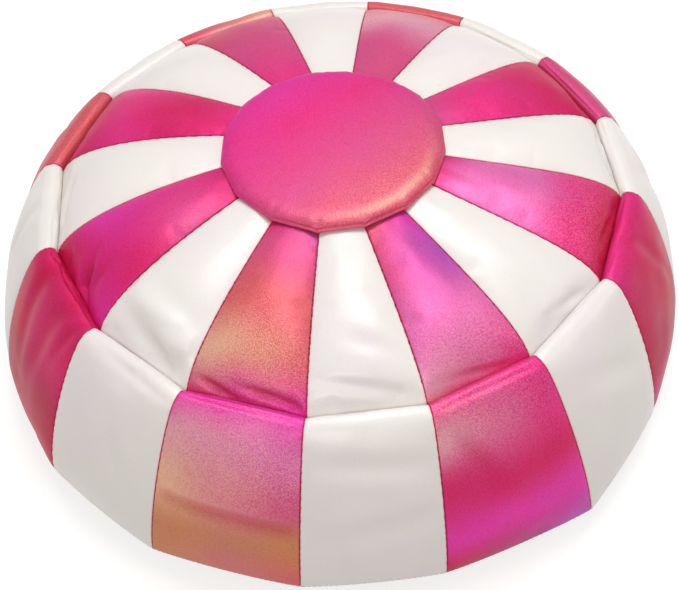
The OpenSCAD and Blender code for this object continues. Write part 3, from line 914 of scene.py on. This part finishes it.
def sew(name, seams, material, slot, *nodes):
    """A piece made of stitches along each seam, a path with its outward normals. A stitch is a
    rod of six-sided rings, along x at -1, -0.8, 0.8 and 1 half lengths, closed to a point at both
    ends, laid from one hole to the next along the path."""
    turn = np.arange(6) * math.pi / 3
    reach = np.array([-1.0, -0.93, -0.7, 0.7, 0.93, 1.0])
    girth = np.array([0.0, 0.62, 1.0, 1.0, 0.62, 0.0])
    middles, ways, ups = [], [], []
    for path, normal in seams:
        run = np.r_[0, np.cumsum(np.linalg.norm(np.diff(path, axis=0), axis=1))]
        count = max(int(run[-1] / stitch_pitch), 1)
        places = (np.arange(count) + 0.5) * run[-1] / count
        at = [np.stack([np.interp(places + shift, run, c) for c in path.T], -1)
              for shift in (-stitch_l / 2, 0, stitch_l / 2)]
        up = np.stack([np.interp(places, run, c) for c in normal.T], -1)
        way = at[2] - at[0]
        way /= np.linalg.norm(way, axis=1, keepdims=True)
        up -= way * (up * way).sum(1, keepdims=True)
        middles.append(at[1])
        ways.append(way)
        ups.append(up / np.linalg.norm(up, axis=1, keepdims=True))
    middle, way, up = (np.concatenate(a)[:, None, None] for a in (middles, ways, ups))
    over = np.cross(way, up)
    rings = (middle + way * (reach * stitch_l / 2)[None, :, None, None]
             + (over * np.cos(turn)[None, None, :, None] + up * np.sin(turn)[None, None, :, None])
             * (girth * stitch_r)[None, :, None, None])
    faces = sheet_faces(6, 6, wrap=True)
    count = len(rings)
    faces = (faces[None] + 36 * np.arange(count)[:, None, None]).reshape(-1, 4)
    piece = make_piece(name, rings.reshape(-1, 3), faces, material)
    ply = reach[None, :, None] * 7.0 + turn[None, None, :] + np.arange(count)[:, None, None]
    keep_value(piece, "ply", np.broadcast_to(ply, (count, 6, 6)))
    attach(piece, "pouf")
    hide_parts(*nodes)
    return piece


def seam_row(path, angle, depth):
    """A seam's path sunk to the bottom of its valley, and its outward normals, for a path that
    runs down the pouf at that angle: square to the path and to the way round."""
    way = np.gradient(path, axis=0)
    normal = np.cross(way, np.array((-math.sin(angle), math.cos(angle), 0)))
    normal /= np.linalg.norm(normal, axis=1, keepdims=True)
    return path - normal * depth, normal


seam_angles = [-math.pi / 2 + k * step for k in range(panels)]
wedge_rows = [seam_row(wedge_seam(k, np.linspace(0.1, 0.99, 120)), seam_angles[k], 0.4 * MM)
              for k in range(panels)]
sew("wedge_stitches", wedge_rows, pink_thread, "thread_pink", "wedge_seam_thread")
side_rows = [seam_row(side_seam(k, np.linspace(0.015, 0.985, 160)), seam_angles[k], 0.4 * MM)
             for k in range(panels)]
sew("side_stitches", side_rows, pink_thread, "thread_pink", "side_seam_thread")
rim_path = np.concatenate([wedge_fine[i][-1] for i in range(1, panels + 1)])
sew("rim_stitches", [(rim_path + np.array((0, 0, -0.1 * MM)), -0.25 * inwards(rim_path)
                      + np.array((0, 0, 1)))],
    pink_thread, "thread_pink", "rim_seam_thread")

# ---- Centre patch -----------------------------------------------------------------------
# A pink leather patch with sixteen corners over a thin pad, which hides the wedges' tips. Its
# edge rolls over and under, and its hem is caught down to the wedges out of sight.


def patch_outline(count=12):
    """The patch's edge seen from above: straight runs between its corners, each bowed out by a
    millimetre at most and barely eased at the corners."""
    k = np.arange(panels)
    corner = turned(-math.pi / 2 + k * step, patch_r + patch_out, patch_round, 0 * k)[:, :2]
    share = np.linspace(0, 1, count, endpoint=False)[None, :, None]
    run = (np.roll(corner, -1, 0) - corner)[:, None]
    outward = np.stack([run[..., 1], -run[..., 0]], -1)
    outward /= np.linalg.norm(outward, axis=-1, keepdims=True)
    line = (corner[:, None] + run * share + outward * (0.2 * MM * 4 * share * (1 - share))).reshape(-1, 2)
    return (np.roll(line, 1, 0) + 6 * line + np.roll(line, -1, 0)) / 8


outline = patch_outline(16)
patch_angle = np.arctan2(outline[:, 1], outline[:, 0])
reach = np.linalg.norm(outline, axis=1)


def over_patch(profile, rows):
    """Rings inside the patch's edge. The profile gives how far in from the edge and how high above
    the crown; near the edge a ring follows the outline, and towards the middle it shrinks to it."""
    path = smooth_through(np.array(profile), np.linspace(0, 1, rows)) * MM
    toward_middle = np.clip(path[:, 0] / patch_r, 0, 1)[:, None]
    share = 1 - path[:, :1] / (reach[None] * (1 - toward_middle) + patch_r * toward_middle)
    return np.concatenate([outline[None] * share[..., None],
                           np.broadcast_to(path[:, 1][:, None, None], share.shape + (1,)) + crown_h], -1), path


def closed_round(rings, top=True, bottom=True):
    """Points and faces of a round form from its rings, top to bottom: four-sided faces between
    the rings, and a fan to a middle point at each end that is closed."""
    rows, cols = rings.shape[:2]
    ring = np.arange(cols)
    points, faces = [rings.reshape(-1, 3)], [sheet_faces(rows, cols, wrap=True).tolist()]
    if top:
        points.append(rings[:1].mean(1))
        faces.append(np.stack([0 * ring + rows * cols, ring, np.roll(ring, -1)], -1).tolist())
    if bottom:
        points.append(rings[-1:].mean(1))
        last = ring + (rows - 1) * cols
        faces.append(np.stack([0 * ring + rows * cols + int(top), np.roll(last, -1), last], -1).tolist())
    return np.concatenate(points), sum(faces, [])


patch, patch_profile = over_patch([
    (81.5, 10.4), (66, 10.3), (52, 10.0), (38, 9.6), (27, 9.1), (18, 8.6), (11, 8.0), (6.4, 7.1), (3.2, 5.8),
    (1.2, 4.3),
    (0.2, 2.9), (0.0, 1.8), (0.8, 0.8), (2.8, 0.35), (7.0, 0.3), (12.0, 0.3)], 73)
# The front of the edge is pinched into a second, lower roll, and the whole edge puckers a little
front = np.clip(np.cos(patch_angle + math.radians(75)), 0, 1)[None] ** 1.2
near_edge = np.exp(-((patch_profile[:, 0] - 0.3 * MM) / (6 * MM)) ** 2)[:, None]
pucker = 0.5 * np.sin(16 * patch_angle + 0.6) + 0.35 * np.sin(37 * patch_angle)
pucker += 0.3 * np.sin(61 * patch_angle + 2)
pinch = np.exp(-((patch[..., 2] - crown_h - 3.4 * MM) / (1.1 * MM)) ** 2)
pinch = pinch * (patch_profile[:, 0] < 6 * MM)[:, None]
patch[..., 2] += 0.4 * MM * near_edge * pucker[None] * (patch_profile[:, 1] > 3 * MM)[:, None]
# At each corner the leather is gathered: a short crease runs in from the corner and dies out
since_corner = np.abs((np.arange(len(outline)) + 8) % 16 - 8)[None] * 2.0
gather = np.exp(-(since_corner / 2.6) ** 2) * np.exp(-((patch_profile[:, 0] / MM - 3) / 6.5) ** 2)[:, None]
patch[..., 2] -= (0.5 + 0.7 * front) * MM * gather * (patch_profile[:, 1] > 2.2 * MM)[:, None]
patch += inwards(patch) * (1.1 * MM * pinch * front)[..., None]
medallion = make_piece("centre_patch", *closed_round(patch, bottom=False), pink_leather)

# Its colours run from magenta at the back left to coral at the front right: its pink, with the
# iridescent sheen painted on towards the front right
patch_run = np.array([srgb(shades[n]) for n in ("magenta", "hot_pink", "rose", "coral")]) ** (1 / 2.2)
front_right = math.radians(-45)
toward = (patch[..., 0] * math.cos(front_right) + patch[..., 1] * math.sin(front_right)) / patch_r
share = np.clip((toward + 1) / 2, 0, 1) * (len(patch_run) - 1)
low = np.minimum(share.astype(int), len(patch_run) - 2)
part = (share - low)[..., None]
patch_colour_and_sheen = (patch_run[low] * (1 - part) + patch_run[low + 1] * part) ** 2.2
# A painted peach highlight lies inside the front right edge, and painted shade on the roll outside
# it: the spread round about in degrees, how far in from the edge and its spread in mm, the shade,
# and how strong it is
for spread, inset, deep, shade, amount in ((30, 8, 4, "peach", 0.7), (45, 2, 3, "raspberry", 0.6)):
    round_by = (np.degrees(patch_angle - front_right) + 180) % 360 - 180
    bell = amount * np.exp(-(round_by / spread) ** 2)[None]
    bell = bell * np.exp(-((patch_profile[:, :1] / MM - inset) / deep) ** 2)
    patch_colour_and_sheen = patch_colour_and_sheen * (1 - bell[..., None]) + srgb(shades[shade]) * bell[..., None]
# Painted shade: the low leather under the edge is darkened towards raspberry
under = np.clip((2.4 * MM - (patch[..., 2] - crown_h)) / (2 * MM), 0, 1)[..., None]
patch_colour_and_sheen = patch_colour_and_sheen * (1 - 0.8 * under) + srgb(shades["raspberry"]) * 0.8 * under


def with_middle(values):
    """Values kept for rings, with their first ring's mean added for the middle point."""
    return np.concatenate([values.reshape((-1,) + values.shape[2:]), values[:1].mean(1)])


keep_colour(medallion, "colour_and_sheen", with_middle(patch_colour_and_sheen))
# Painted gold highlights on the pebbles, strongest towards the front right
keep_value(medallion, "glint", with_middle(0.03 + 0.2 * np.exp(-((toward - 0.85) / 0.25) ** 2)))
keep_value(medallion, "seam", np.zeros(patch.shape[0] * patch.shape[1] + 1))
thicken(medallion, leather_t)
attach(medallion, "pouf")
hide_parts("medallion")

# Wadding: loose polyester fibres, felted together, drawn as fine streaks in all directions
wadding, tree, out = new_material("wadding")
place = add_node(tree, "ShaderNodeTexCoord").outputs["Object"]
streaks = add_node(tree, "ShaderNodeTexNoise", {"Vector": place, "Scale": 320.0, "Detail": 5.0,
                                                "Distortion": 2.5})
clumps = add_node(tree, "ShaderNodeGroup", {"Size": 45.0, "Low": 0.0, "High": 0.5}, node_tree=drift)
colour = blend_colour(tree, clumps.outputs[0], rgba("f2efe6"), rgba("dcd6c8"))
bump = add_node(tree, "ShaderNodeBump", {"Height": streaks.outputs[0], "Strength": 0.8, "Distance": 0.0012})
paint = add_node(tree, "ShaderNodeBsdfPrincipled", {"Base Color": colour, "Roughness": 0.95,
                                                    "Normal": bump.outputs[0],
                                                    "Sheen Weight": 0.5, "Sheen Roughness": 0.6})
tree.links.new(paint.outputs[0], out.inputs["Surface"])
pad, _ = over_patch([
    (81.5, 8.6), (66, 8.3), (52, 7.7), (38, 6.9), (26, 5.9), (16, 5.0), (10, 4.3), (6.5, 3.6), (4.6, 2.7),
    (4.2, 1.8),
    (5.4, 1.75), (14, 1.7), (30, 1.7), (60, 1.7), (81.5, 1.7)], 49)
pad[..., 2] += 0.12 * MM * np.sin(9 * patch_angle)[None] * np.sin(np.linspace(0, 6 * np.pi, 49))[:, None]
pad_piece = make_piece("patch_pad", *closed_round(pad), wadding)
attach(pad_piece, "pouf")
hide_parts("medallion_pad")
hem = outline * (1 - 9.5 * MM / reach)[:, None]
hem = np.concatenate([np.c_[hem, np.full(len(hem), crown_h - 0.4 * MM)]] * 2)[:len(hem) + 1]
sew("patch_stitches", [(hem, np.array((0, 0, -1.0)) + 0 * hem)], pink_thread, "thread_pink",
    "medallion_thread")

# ---- Base -------------------------------------------------------------------------------
# Two halves of white leather, sewn to the sides at the lower edge and to each other beyond the
# ends of the zip. The pouf's weight flattens them into a ring on the floor, round a raised middle.
base_lift, slot_y, slot_end = 9 * MM, 7 * MM, 174.35 * MM
# How far in from the lower edge, and the height
base_profile = smooth_through(np.array([
    (0, 20), (5, 15.6), (10, 11.8), (15, 8.2), (20, 4.9), (24.5, 2.3), (28.5, 0.7), (33, 0.08), (40, 0),
    (49, 0),
    (57, 0), (63, 0.15), (67, 0.9), (71, 3.0), (75, 6.2), (79, 8.4), (84, 9.0)]), np.linspace(0, 1, 45)) * MM
base_profile[:, 1] = np.maximum(base_profile[:, 1], 0)


def base_half(first_panel):
    """Half of the base: from the lower edges of eight panels inwards along the base's profile,
    then straight across to the middle seam, which opens into the slot along the zip."""
    edge = np.concatenate([side_fine[(first_panel - 1 + j) % panels + 1][-1][(j > 0):] for j in range(8)])
    ring = inwards(edge)[None] * base_profile[:, 0][:, None, None] + edge[None]
    ring[..., 2] = base_profile[:, 1][:, None] + 0 * ring[..., 2]
    angle = np.arctan2(edge[:, 1], edge[:, 0])
    x = 179 * MM * np.cos(angle)
    sign = 1.0 if first_panel == 5 else -1.0
    y = sign * slot_y * np.clip((slot_end + 0.8 * MM - np.abs(x)) / (1.6 * MM), 0, 1)
    middle = np.stack([x, y, 0 * x + base_lift], -1)
    share = np.linspace(0, 1, 22)[1:, None, None] ** 0.9
    across = ring[-1][None] * (1 - share) + middle[None] * share
    rumple = np.sin(34 * across[..., 0] + 3 * sign) * np.sin(41 * across[..., 1] + 1)
    rumple = rumple * np.sin(np.pi * share[..., 0])
    across[..., 2] += 0.5 * MM * rumple
    return np.concatenate([ring, across])


for name, first_panel in (("front", 13), ("back", 5)):
    half = base_half(first_panel)
    normals = panel_normals(half)
    to_end = np.minimum(np.linalg.norm(half - half[:, :1], axis=-1),
                        np.linalg.norm(half - half[:, -1:], axis=-1))
    d = np.minimum(to_end, seam_radius)
    half[..., 2] += (seam_radius - np.sqrt(seam_radius ** 2
                                           - (seam_radius - d) ** 2)) * (np.abs(half[..., 0]) > slot_end)
    half, edge_distance = into_edge(half, 0)
    strip = half[:1] + inwards(half[:1]) * 8 * MM + np.array((0, 0, 0.4 * MM))
    grid = np.concatenate([strip, half])
    panel = make_piece(f"base_{name}", grid.reshape(-1, 3), sheet_faces(*grid.shape[:2]), white_leather)
    distance = np.minimum(to_end, np.where(edge_distance < seam_radius, edge_distance, 1))
    keep_colour(panel, "colour_and_sheen", np.broadcast_to(srgb(shades["pearl"]), grid.shape))
    # Painted shade, faint and blush-coloured, along the base's seams
    keep_value(panel, "seam", np.pad(0.15 * np.exp(-(distance / (0.9 * MM)) ** 2), ((1, 0), (0, 0)),
                                     mode="edge"))
    thicken(panel, leather_t)
    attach(panel, "pouf")
    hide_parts(f"base_panel_{name}")

edge_path = np.concatenate([side_fine[i][-1] for i in range(1, panels + 1)])
end_seams = []
for half in (base_half(5)[:, 0], base_half(5)[:, -1]):
    on_heel = (half[:, 2:] > 1 * MM) * (half[:, 2:] < 19 * MM)
    down = np.array((0, 0, -1.0)) + 0 * half - 0.3 * inwards(half) * on_heel
    end_seams.append((half[2:] - down[2:] * 0.9 * MM, down[2:]))
sew("base_stitches", [(edge_path + 0.8 * MM * inwards(edge_path), -inwards(edge_path)
                       - np.array((0, 0, 0.4))), *end_seams],
    white_thread, "thread_white", "base_seam_thread")

# ---- Zip --------------------------------------------------------------------------------
# A number 5 nylon coil zip along the middle of the base. Its two woven tapes lie inside the
# leather, held by two rows of stitches on each side of the slot.
zip_half, tape_end, coil_middle = 170.35 * MM, 181.35 * MM, 1.95 * MM
topstitch_x = np.linspace(-slot_end, slot_end, 500)
rows = [np.stack([topstitch_x, 0 * topstitch_x + side * (slot_y + gap), 0 * topstitch_x + base_lift - 0.05
                  * MM], -1)
        for side in (-1, 1) for gap in (2 * MM, 5 * MM)]
sew("zip_stitches", [(row, np.array((0, 0, -1.0)) + 0 * row) for row in rows], white_thread, "thread_white",
    "zip_seam_thread")

# Woven tape: twill ribs along the zip crossed by finer weft, on Object coordinates, darker where the
# weave lies low as painted shade
tape_cloth, tree, out = new_material("woven tape")
place = add_node(tree, "ShaderNodeTexCoord").outputs["Object"]
ribs = add_node(tree, "ShaderNodeTexWave", {"Vector": place, "Scale": 330.0, "Distortion": 0.3},
                bands_direction="Y")
weft = add_node(tree, "ShaderNodeTexWave", {"Vector": place, "Scale": 520.0, "Distortion": 0.3},
                bands_direction="DIAGONAL")
cross = maths(tree, "MULTIPLY", ribs.outputs["Fac"], weft.outputs["Fac"])
colour = blend_colour(tree, cross.outputs[0], rgba("c4bfbc"), rgba("e9e5e2"))
bump = add_node(tree, "ShaderNodeBump", {"Height": cross.outputs[0], "Strength": 0.7, "Distance": 0.00015})
paint = add_node(tree, "ShaderNodeBsdfPrincipled", {"Base Color": colour, "Roughness": 0.85,
                                                    "Normal": bump.outputs[0],
                                                    "Sheen Weight": 0.25})
tree.links.new(paint.outputs[0], out.inputs["Surface"])
for name, side in (("front", -1), ("back", 1)):
    x, w = np.linspace(-tape_end, tape_end, 180), np.linspace(0, 1, 9)
    grid = np.stack(np.broadcast_arrays(x[None], side * (0.7 * MM + 14.5 * MM * w)[:, None],
                                        10.25 * MM + 0.05 * MM * np.sin(90 * x)[None]), -1)
    tape = make_piece(f"zip_tape_{name}.cloth", grid.reshape(-1, 3),
                      sheet_faces(9, 180) if side < 0 else sheet_faces(9, 180)[:, ::-1], tape_cloth)
    thicken(tape, 0.5 * MM)
    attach(tape, "pouf")
    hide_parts(f"zip_tape_{name}")

# The coil's nylon thread: smooth and slightly clear
nylon, tree, out = new_material("nylon coil")
ends = add_node(tree, "ShaderNodeGroup", {"Size": 90.0, "Low": 0.0, "High": 0.3}, node_tree=drift)
gloss = add_node(tree, "ShaderNodeGroup", {"Size": 200.0, "Low": 0.25, "High": 0.4}, node_tree=drift)
paint = add_node(tree, "ShaderNodeBsdfPrincipled", {
    "Base Color": blend_colour(tree, ends.outputs[0], rgba("eeebe8"),
                               rgba("d5d0cb")), "Roughness": gloss.outputs[0],
    "Subsurface Weight": 0.15, "Subsurface Scale": 0.001, "Coat Weight": 0.2})
tree.links.new(paint.outputs[0], out.inputs["Surface"])


def coil(side, pitch=1.9 * MM, wire=0.36 * MM, per_turn=10):
    """A flattened screw line of thread: x advances by the pitch a turn, while y and z run round a
    rounded box 2.5 by 2.2 mm, with five-sided rings square to it. The rows mesh half a turn apart."""
    turns = int(2 * zip_half / pitch)
    t = np.linspace(0, turns, turns * per_turn + 1)
    a = 2 * math.pi * t + (0 if side > 0 else math.pi)
    soft = (np.abs(np.cos(a)) ** 4 + np.abs(np.sin(a)) ** 4) ** -0.25
    path = np.stack([-zip_half + t * 2 * zip_half / turns,
                     side * coil_middle + 0.89 * MM * soft * np.cos(a), 9.1 * MM + 0.74 * MM * soft
                     * np.sin(a)], -1)
    way = np.gradient(path, axis=0)
    way /= np.linalg.norm(way, axis=1, keepdims=True)
    out_of = np.stack([0 * a, np.cos(a), np.sin(a)], -1)
    out_of -= way * (out_of * way).sum(1, keepdims=True)
    out_of /= np.linalg.norm(out_of, axis=1, keepdims=True)
    over = np.cross(way, out_of)
    turn = np.arange(5) * 2 * math.pi / 5
    rings = path[:, None] + wire * (out_of[:, None] * np.cos(turn)[None, :, None] + over[:, None]
                                    * np.sin(turn)[None, :, None])
    return closed_round(rings)


for name, side in (("front", -1), ("back", 1)):
    points, faces = coil(side)
    teeth = make_piece(f"zip_teeth_{name}.coil", points, [f[::-1] for f in faces], nylon)
    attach(teeth, "pouf")
    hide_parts(f"zip_teeth_{name}")

# Die-cast zinc, nickel plated, with faint rubbing marks
zinc, tree, out = new_material("plated zinc")
place = add_node(tree, "ShaderNodeTexCoord").outputs["Object"]
scuffs = add_node(tree, "ShaderNodeTexNoise", {"Vector": place, "Scale": 900.0, "Detail": 3.0,
                                               "Distortion": 1.0})
rubbed = rescale(tree, scuffs.outputs[0], 0.35, 0.7, 0.2, 0.42)
tone = blend_colour(tree, scuffs.outputs[0], rgba("c9c8c6"), rgba("b4b2ae"))
bump = add_node(tree, "ShaderNodeBump", {"Height": scuffs.outputs[0], "Strength": 0.1, "Distance": 0.0001})
paint = add_node(tree, "ShaderNodeBsdfPrincipled", {"Base Color": tone, "Metallic": 1.0,
                                                    "Roughness": rubbed.outputs[0],
                                                    "Normal": bump.outputs[0]})
tree.links.new(paint.outputs[0], out.inputs["Surface"])
for name in ("zip_stops", "zip_slider", "zip_pull"):
    metal_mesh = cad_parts[name].data
    metal_mesh.materials[0] = zinc

# ---- Bag and filling --------------------------------------------------------------------
# Inside the leather is a plain cotton bag, sewn from two rounds and a band, stuffed with loose
# wadding. Neither shows while the zip is closed.
bag_profile = smooth_through(np.array([
    (8, 173.6), (40, 173.4), (72, 172.6), (100, 169.6), (128, 164.2), (152, 157.2), (172, 149.6), (188, 141),
    (198, 131),
    (206, 120), (219, 105), (233, 87), (245, 67), (252, 48), (254, 34), (252, 22), (246, 12.5), (238, 6.4),
    (230, 4.6),
    (214, 4.2), (203, 5.2), (194, 9.4), (184, 14.2), (150, 15), (100, 15), (50, 15), (8, 15)]),
    np.linspace(0, 1, 120)) * MM


def stuffed(inset, lumps, cols=160):
    """A round form on the bag's profile, set in along its normals by the inset and by lumps, which
    take the way round and the way along."""
    way = np.gradient(bag_profile, axis=0)
    normal = np.stack([-way[:, 1], way[:, 0]], -1)
    normal /= np.linalg.norm(normal, axis=1, keepdims=True)
    a, v = np.linspace(0, 2 * np.pi, cols, endpoint=False)[None], np.linspace(0, 1, 120)[:, None]
    off = lumps(a, v) - inset
    r = bag_profile[:, :1] + normal[:, :1] * off
    z = bag_profile[:, 1:] + normal[:, 1:] * off
    return np.stack([r * np.cos(a), r * np.sin(a), z + 0 * a], -1)


def bag_folds(a, v):
    """Shallow folds that run down the band and die out on the rounds, and a raised seam where each
    round is sewn to the band."""
    band = np.exp(-((v - 0.42) / 0.14) ** 2)
    ridge = np.exp(-((v - 0.33) / 0.004) ** 2) + np.exp(-((v - 0.66) / 0.004) ** 2)
    folds = np.sin(23 * a + 4 * np.sin(3 * a)) + 0.6 * np.sin(41 * a + 9 * v)
    return (0.7 * folds * band + 0.3 * np.sin(7 * a) * np.sin(20 * v) + 0.7 * ridge) * MM


def filling_lumps(a, v):
    """Tufts of wadding pressed together: three sets of crossing waves."""
    return (0.7 * np.sin(17 * a + 5 * np.sin(11 * v)) * np.sin(26 * v) + 0.5 * np.sin(31 * a - 40 * v)
            + 0.4 * np.sin(13 * a + 61 * v)) * MM * np.clip(np.sin(np.pi * v) * 4, 0, 1)


# Cotton calico: plain weave about 0.6 mm a thread, unbleached, with a few darker slubs
calico, tree, out = new_material("cotton calico")
place = add_node(tree, "ShaderNodeTexCoord").outputs["Object"]
threads = [add_node(tree, "ShaderNodeTexWave", {"Vector": place, "Scale": 260.0, "Distortion": 0.6},
                    bands_direction=d).outputs["Fac"]
           for d in ("X", "Y", "Z")]
weave = maths(tree, "ADD", threads[0], threads[1])
weave = maths(tree, "ADD", weave.outputs[0], threads[2])
slubs = add_node(tree, "ShaderNodeGroup", {"Size": 120.0, "Low": 0.0, "High": 0.45}, node_tree=drift)
colour = blend_colour(tree, slubs.outputs[0], rgba("e8dfc9"), rgba("cdbf9f"))
bump = add_node(tree, "ShaderNodeBump", {"Height": weave.outputs[0], "Strength": 0.5, "Distance": 0.0003})
paint = add_node(tree, "ShaderNodeBsdfPrincipled", {"Base Color": colour, "Roughness": 0.9,
                                                    "Normal": bump.outputs[0],
                                                    "Sheen Weight": 0.3, "Sheen Roughness": 0.5})
tree.links.new(paint.outputs[0], out.inputs["Surface"])
for name, node, material, inset, lumps, fill in (
        ("cotton_bag", "liner_bag", calico, 0.0, bag_folds,
         0.85), ("loose_filling", "filling", wadding, 2.6 * MM, filling_lumps, 0.7)):
    piece = make_piece(name, *closed_round(stuffed(inset, lumps)), material)
    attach(piece, "pouf")
    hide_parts(node)

# ---- How true the image points are ------------------------------------------------------
# Each corner, seam and fold is looked at through the camera, and the edges by the finished
# vertices, and the distance from its image point is kept in a table.


def seen_at(points):
    """Where points show in the picture: their place in the camera's axes over their depth."""
    axes = np.array([camera_right, camera_up, back])
    x, y, z = ((np.atleast_2d(np.asarray(points, float)) - np.array(camera_place)) @ axes.T).T
    longest = max(W, H)
    per = longest * camera_lens / sensor_width / -z
    return np.stack([W / 2 + x * per - shift_x * longest, H / 2 - y * per + shift_y * longest], -1)


bpy.context.view_layer.update()
graph = bpy.context.evaluated_depsgraph_get()
shown = []
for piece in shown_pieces():
    mesh = piece.evaluated_get(graph).data
    co = np.empty(len(mesh.vertices) * 3, np.float32)
    mesh.vertices.foreach_get("co", co)
    shown.append(co.reshape(-1, 3))
shown = seen_at(np.concatenate(shown))
places = {f"rim corner {k}": wedge_seam(k, np.array([1.0]))[0] for k in (0, 2, 4, 6, 8, 10, 12, 14)}
widest = patch[np.abs(patch_profile[:, 0]).argmin()]
places |= {f"patch corner {k}": widest[16 * k] for k in (0, 4, 8, 12)}
places |= {f"lower corner {k}": side_seam(k, np.array([1.0]))[0] for k in (0, 2)}
places |= fold_places
off = {name: (seen_at(at)[0] - np.array(image_points[name])).round(2).tolist() for name, at in places.items()}
off["left side"] = [round(float(shown[:, 0].min() - image_points["left side"]), 2), 0]
off["right side"] = [round(float(shown[:, 0].max() - image_points["right side"]), 2), 0]
off["top side"] = [0, round(float(shown[:, 1].min() - image_points["top side"]), 2)]
off["bottom side"] = [0, round(float(shown[:, 1].max() - image_points["bottom side"]), 2)]
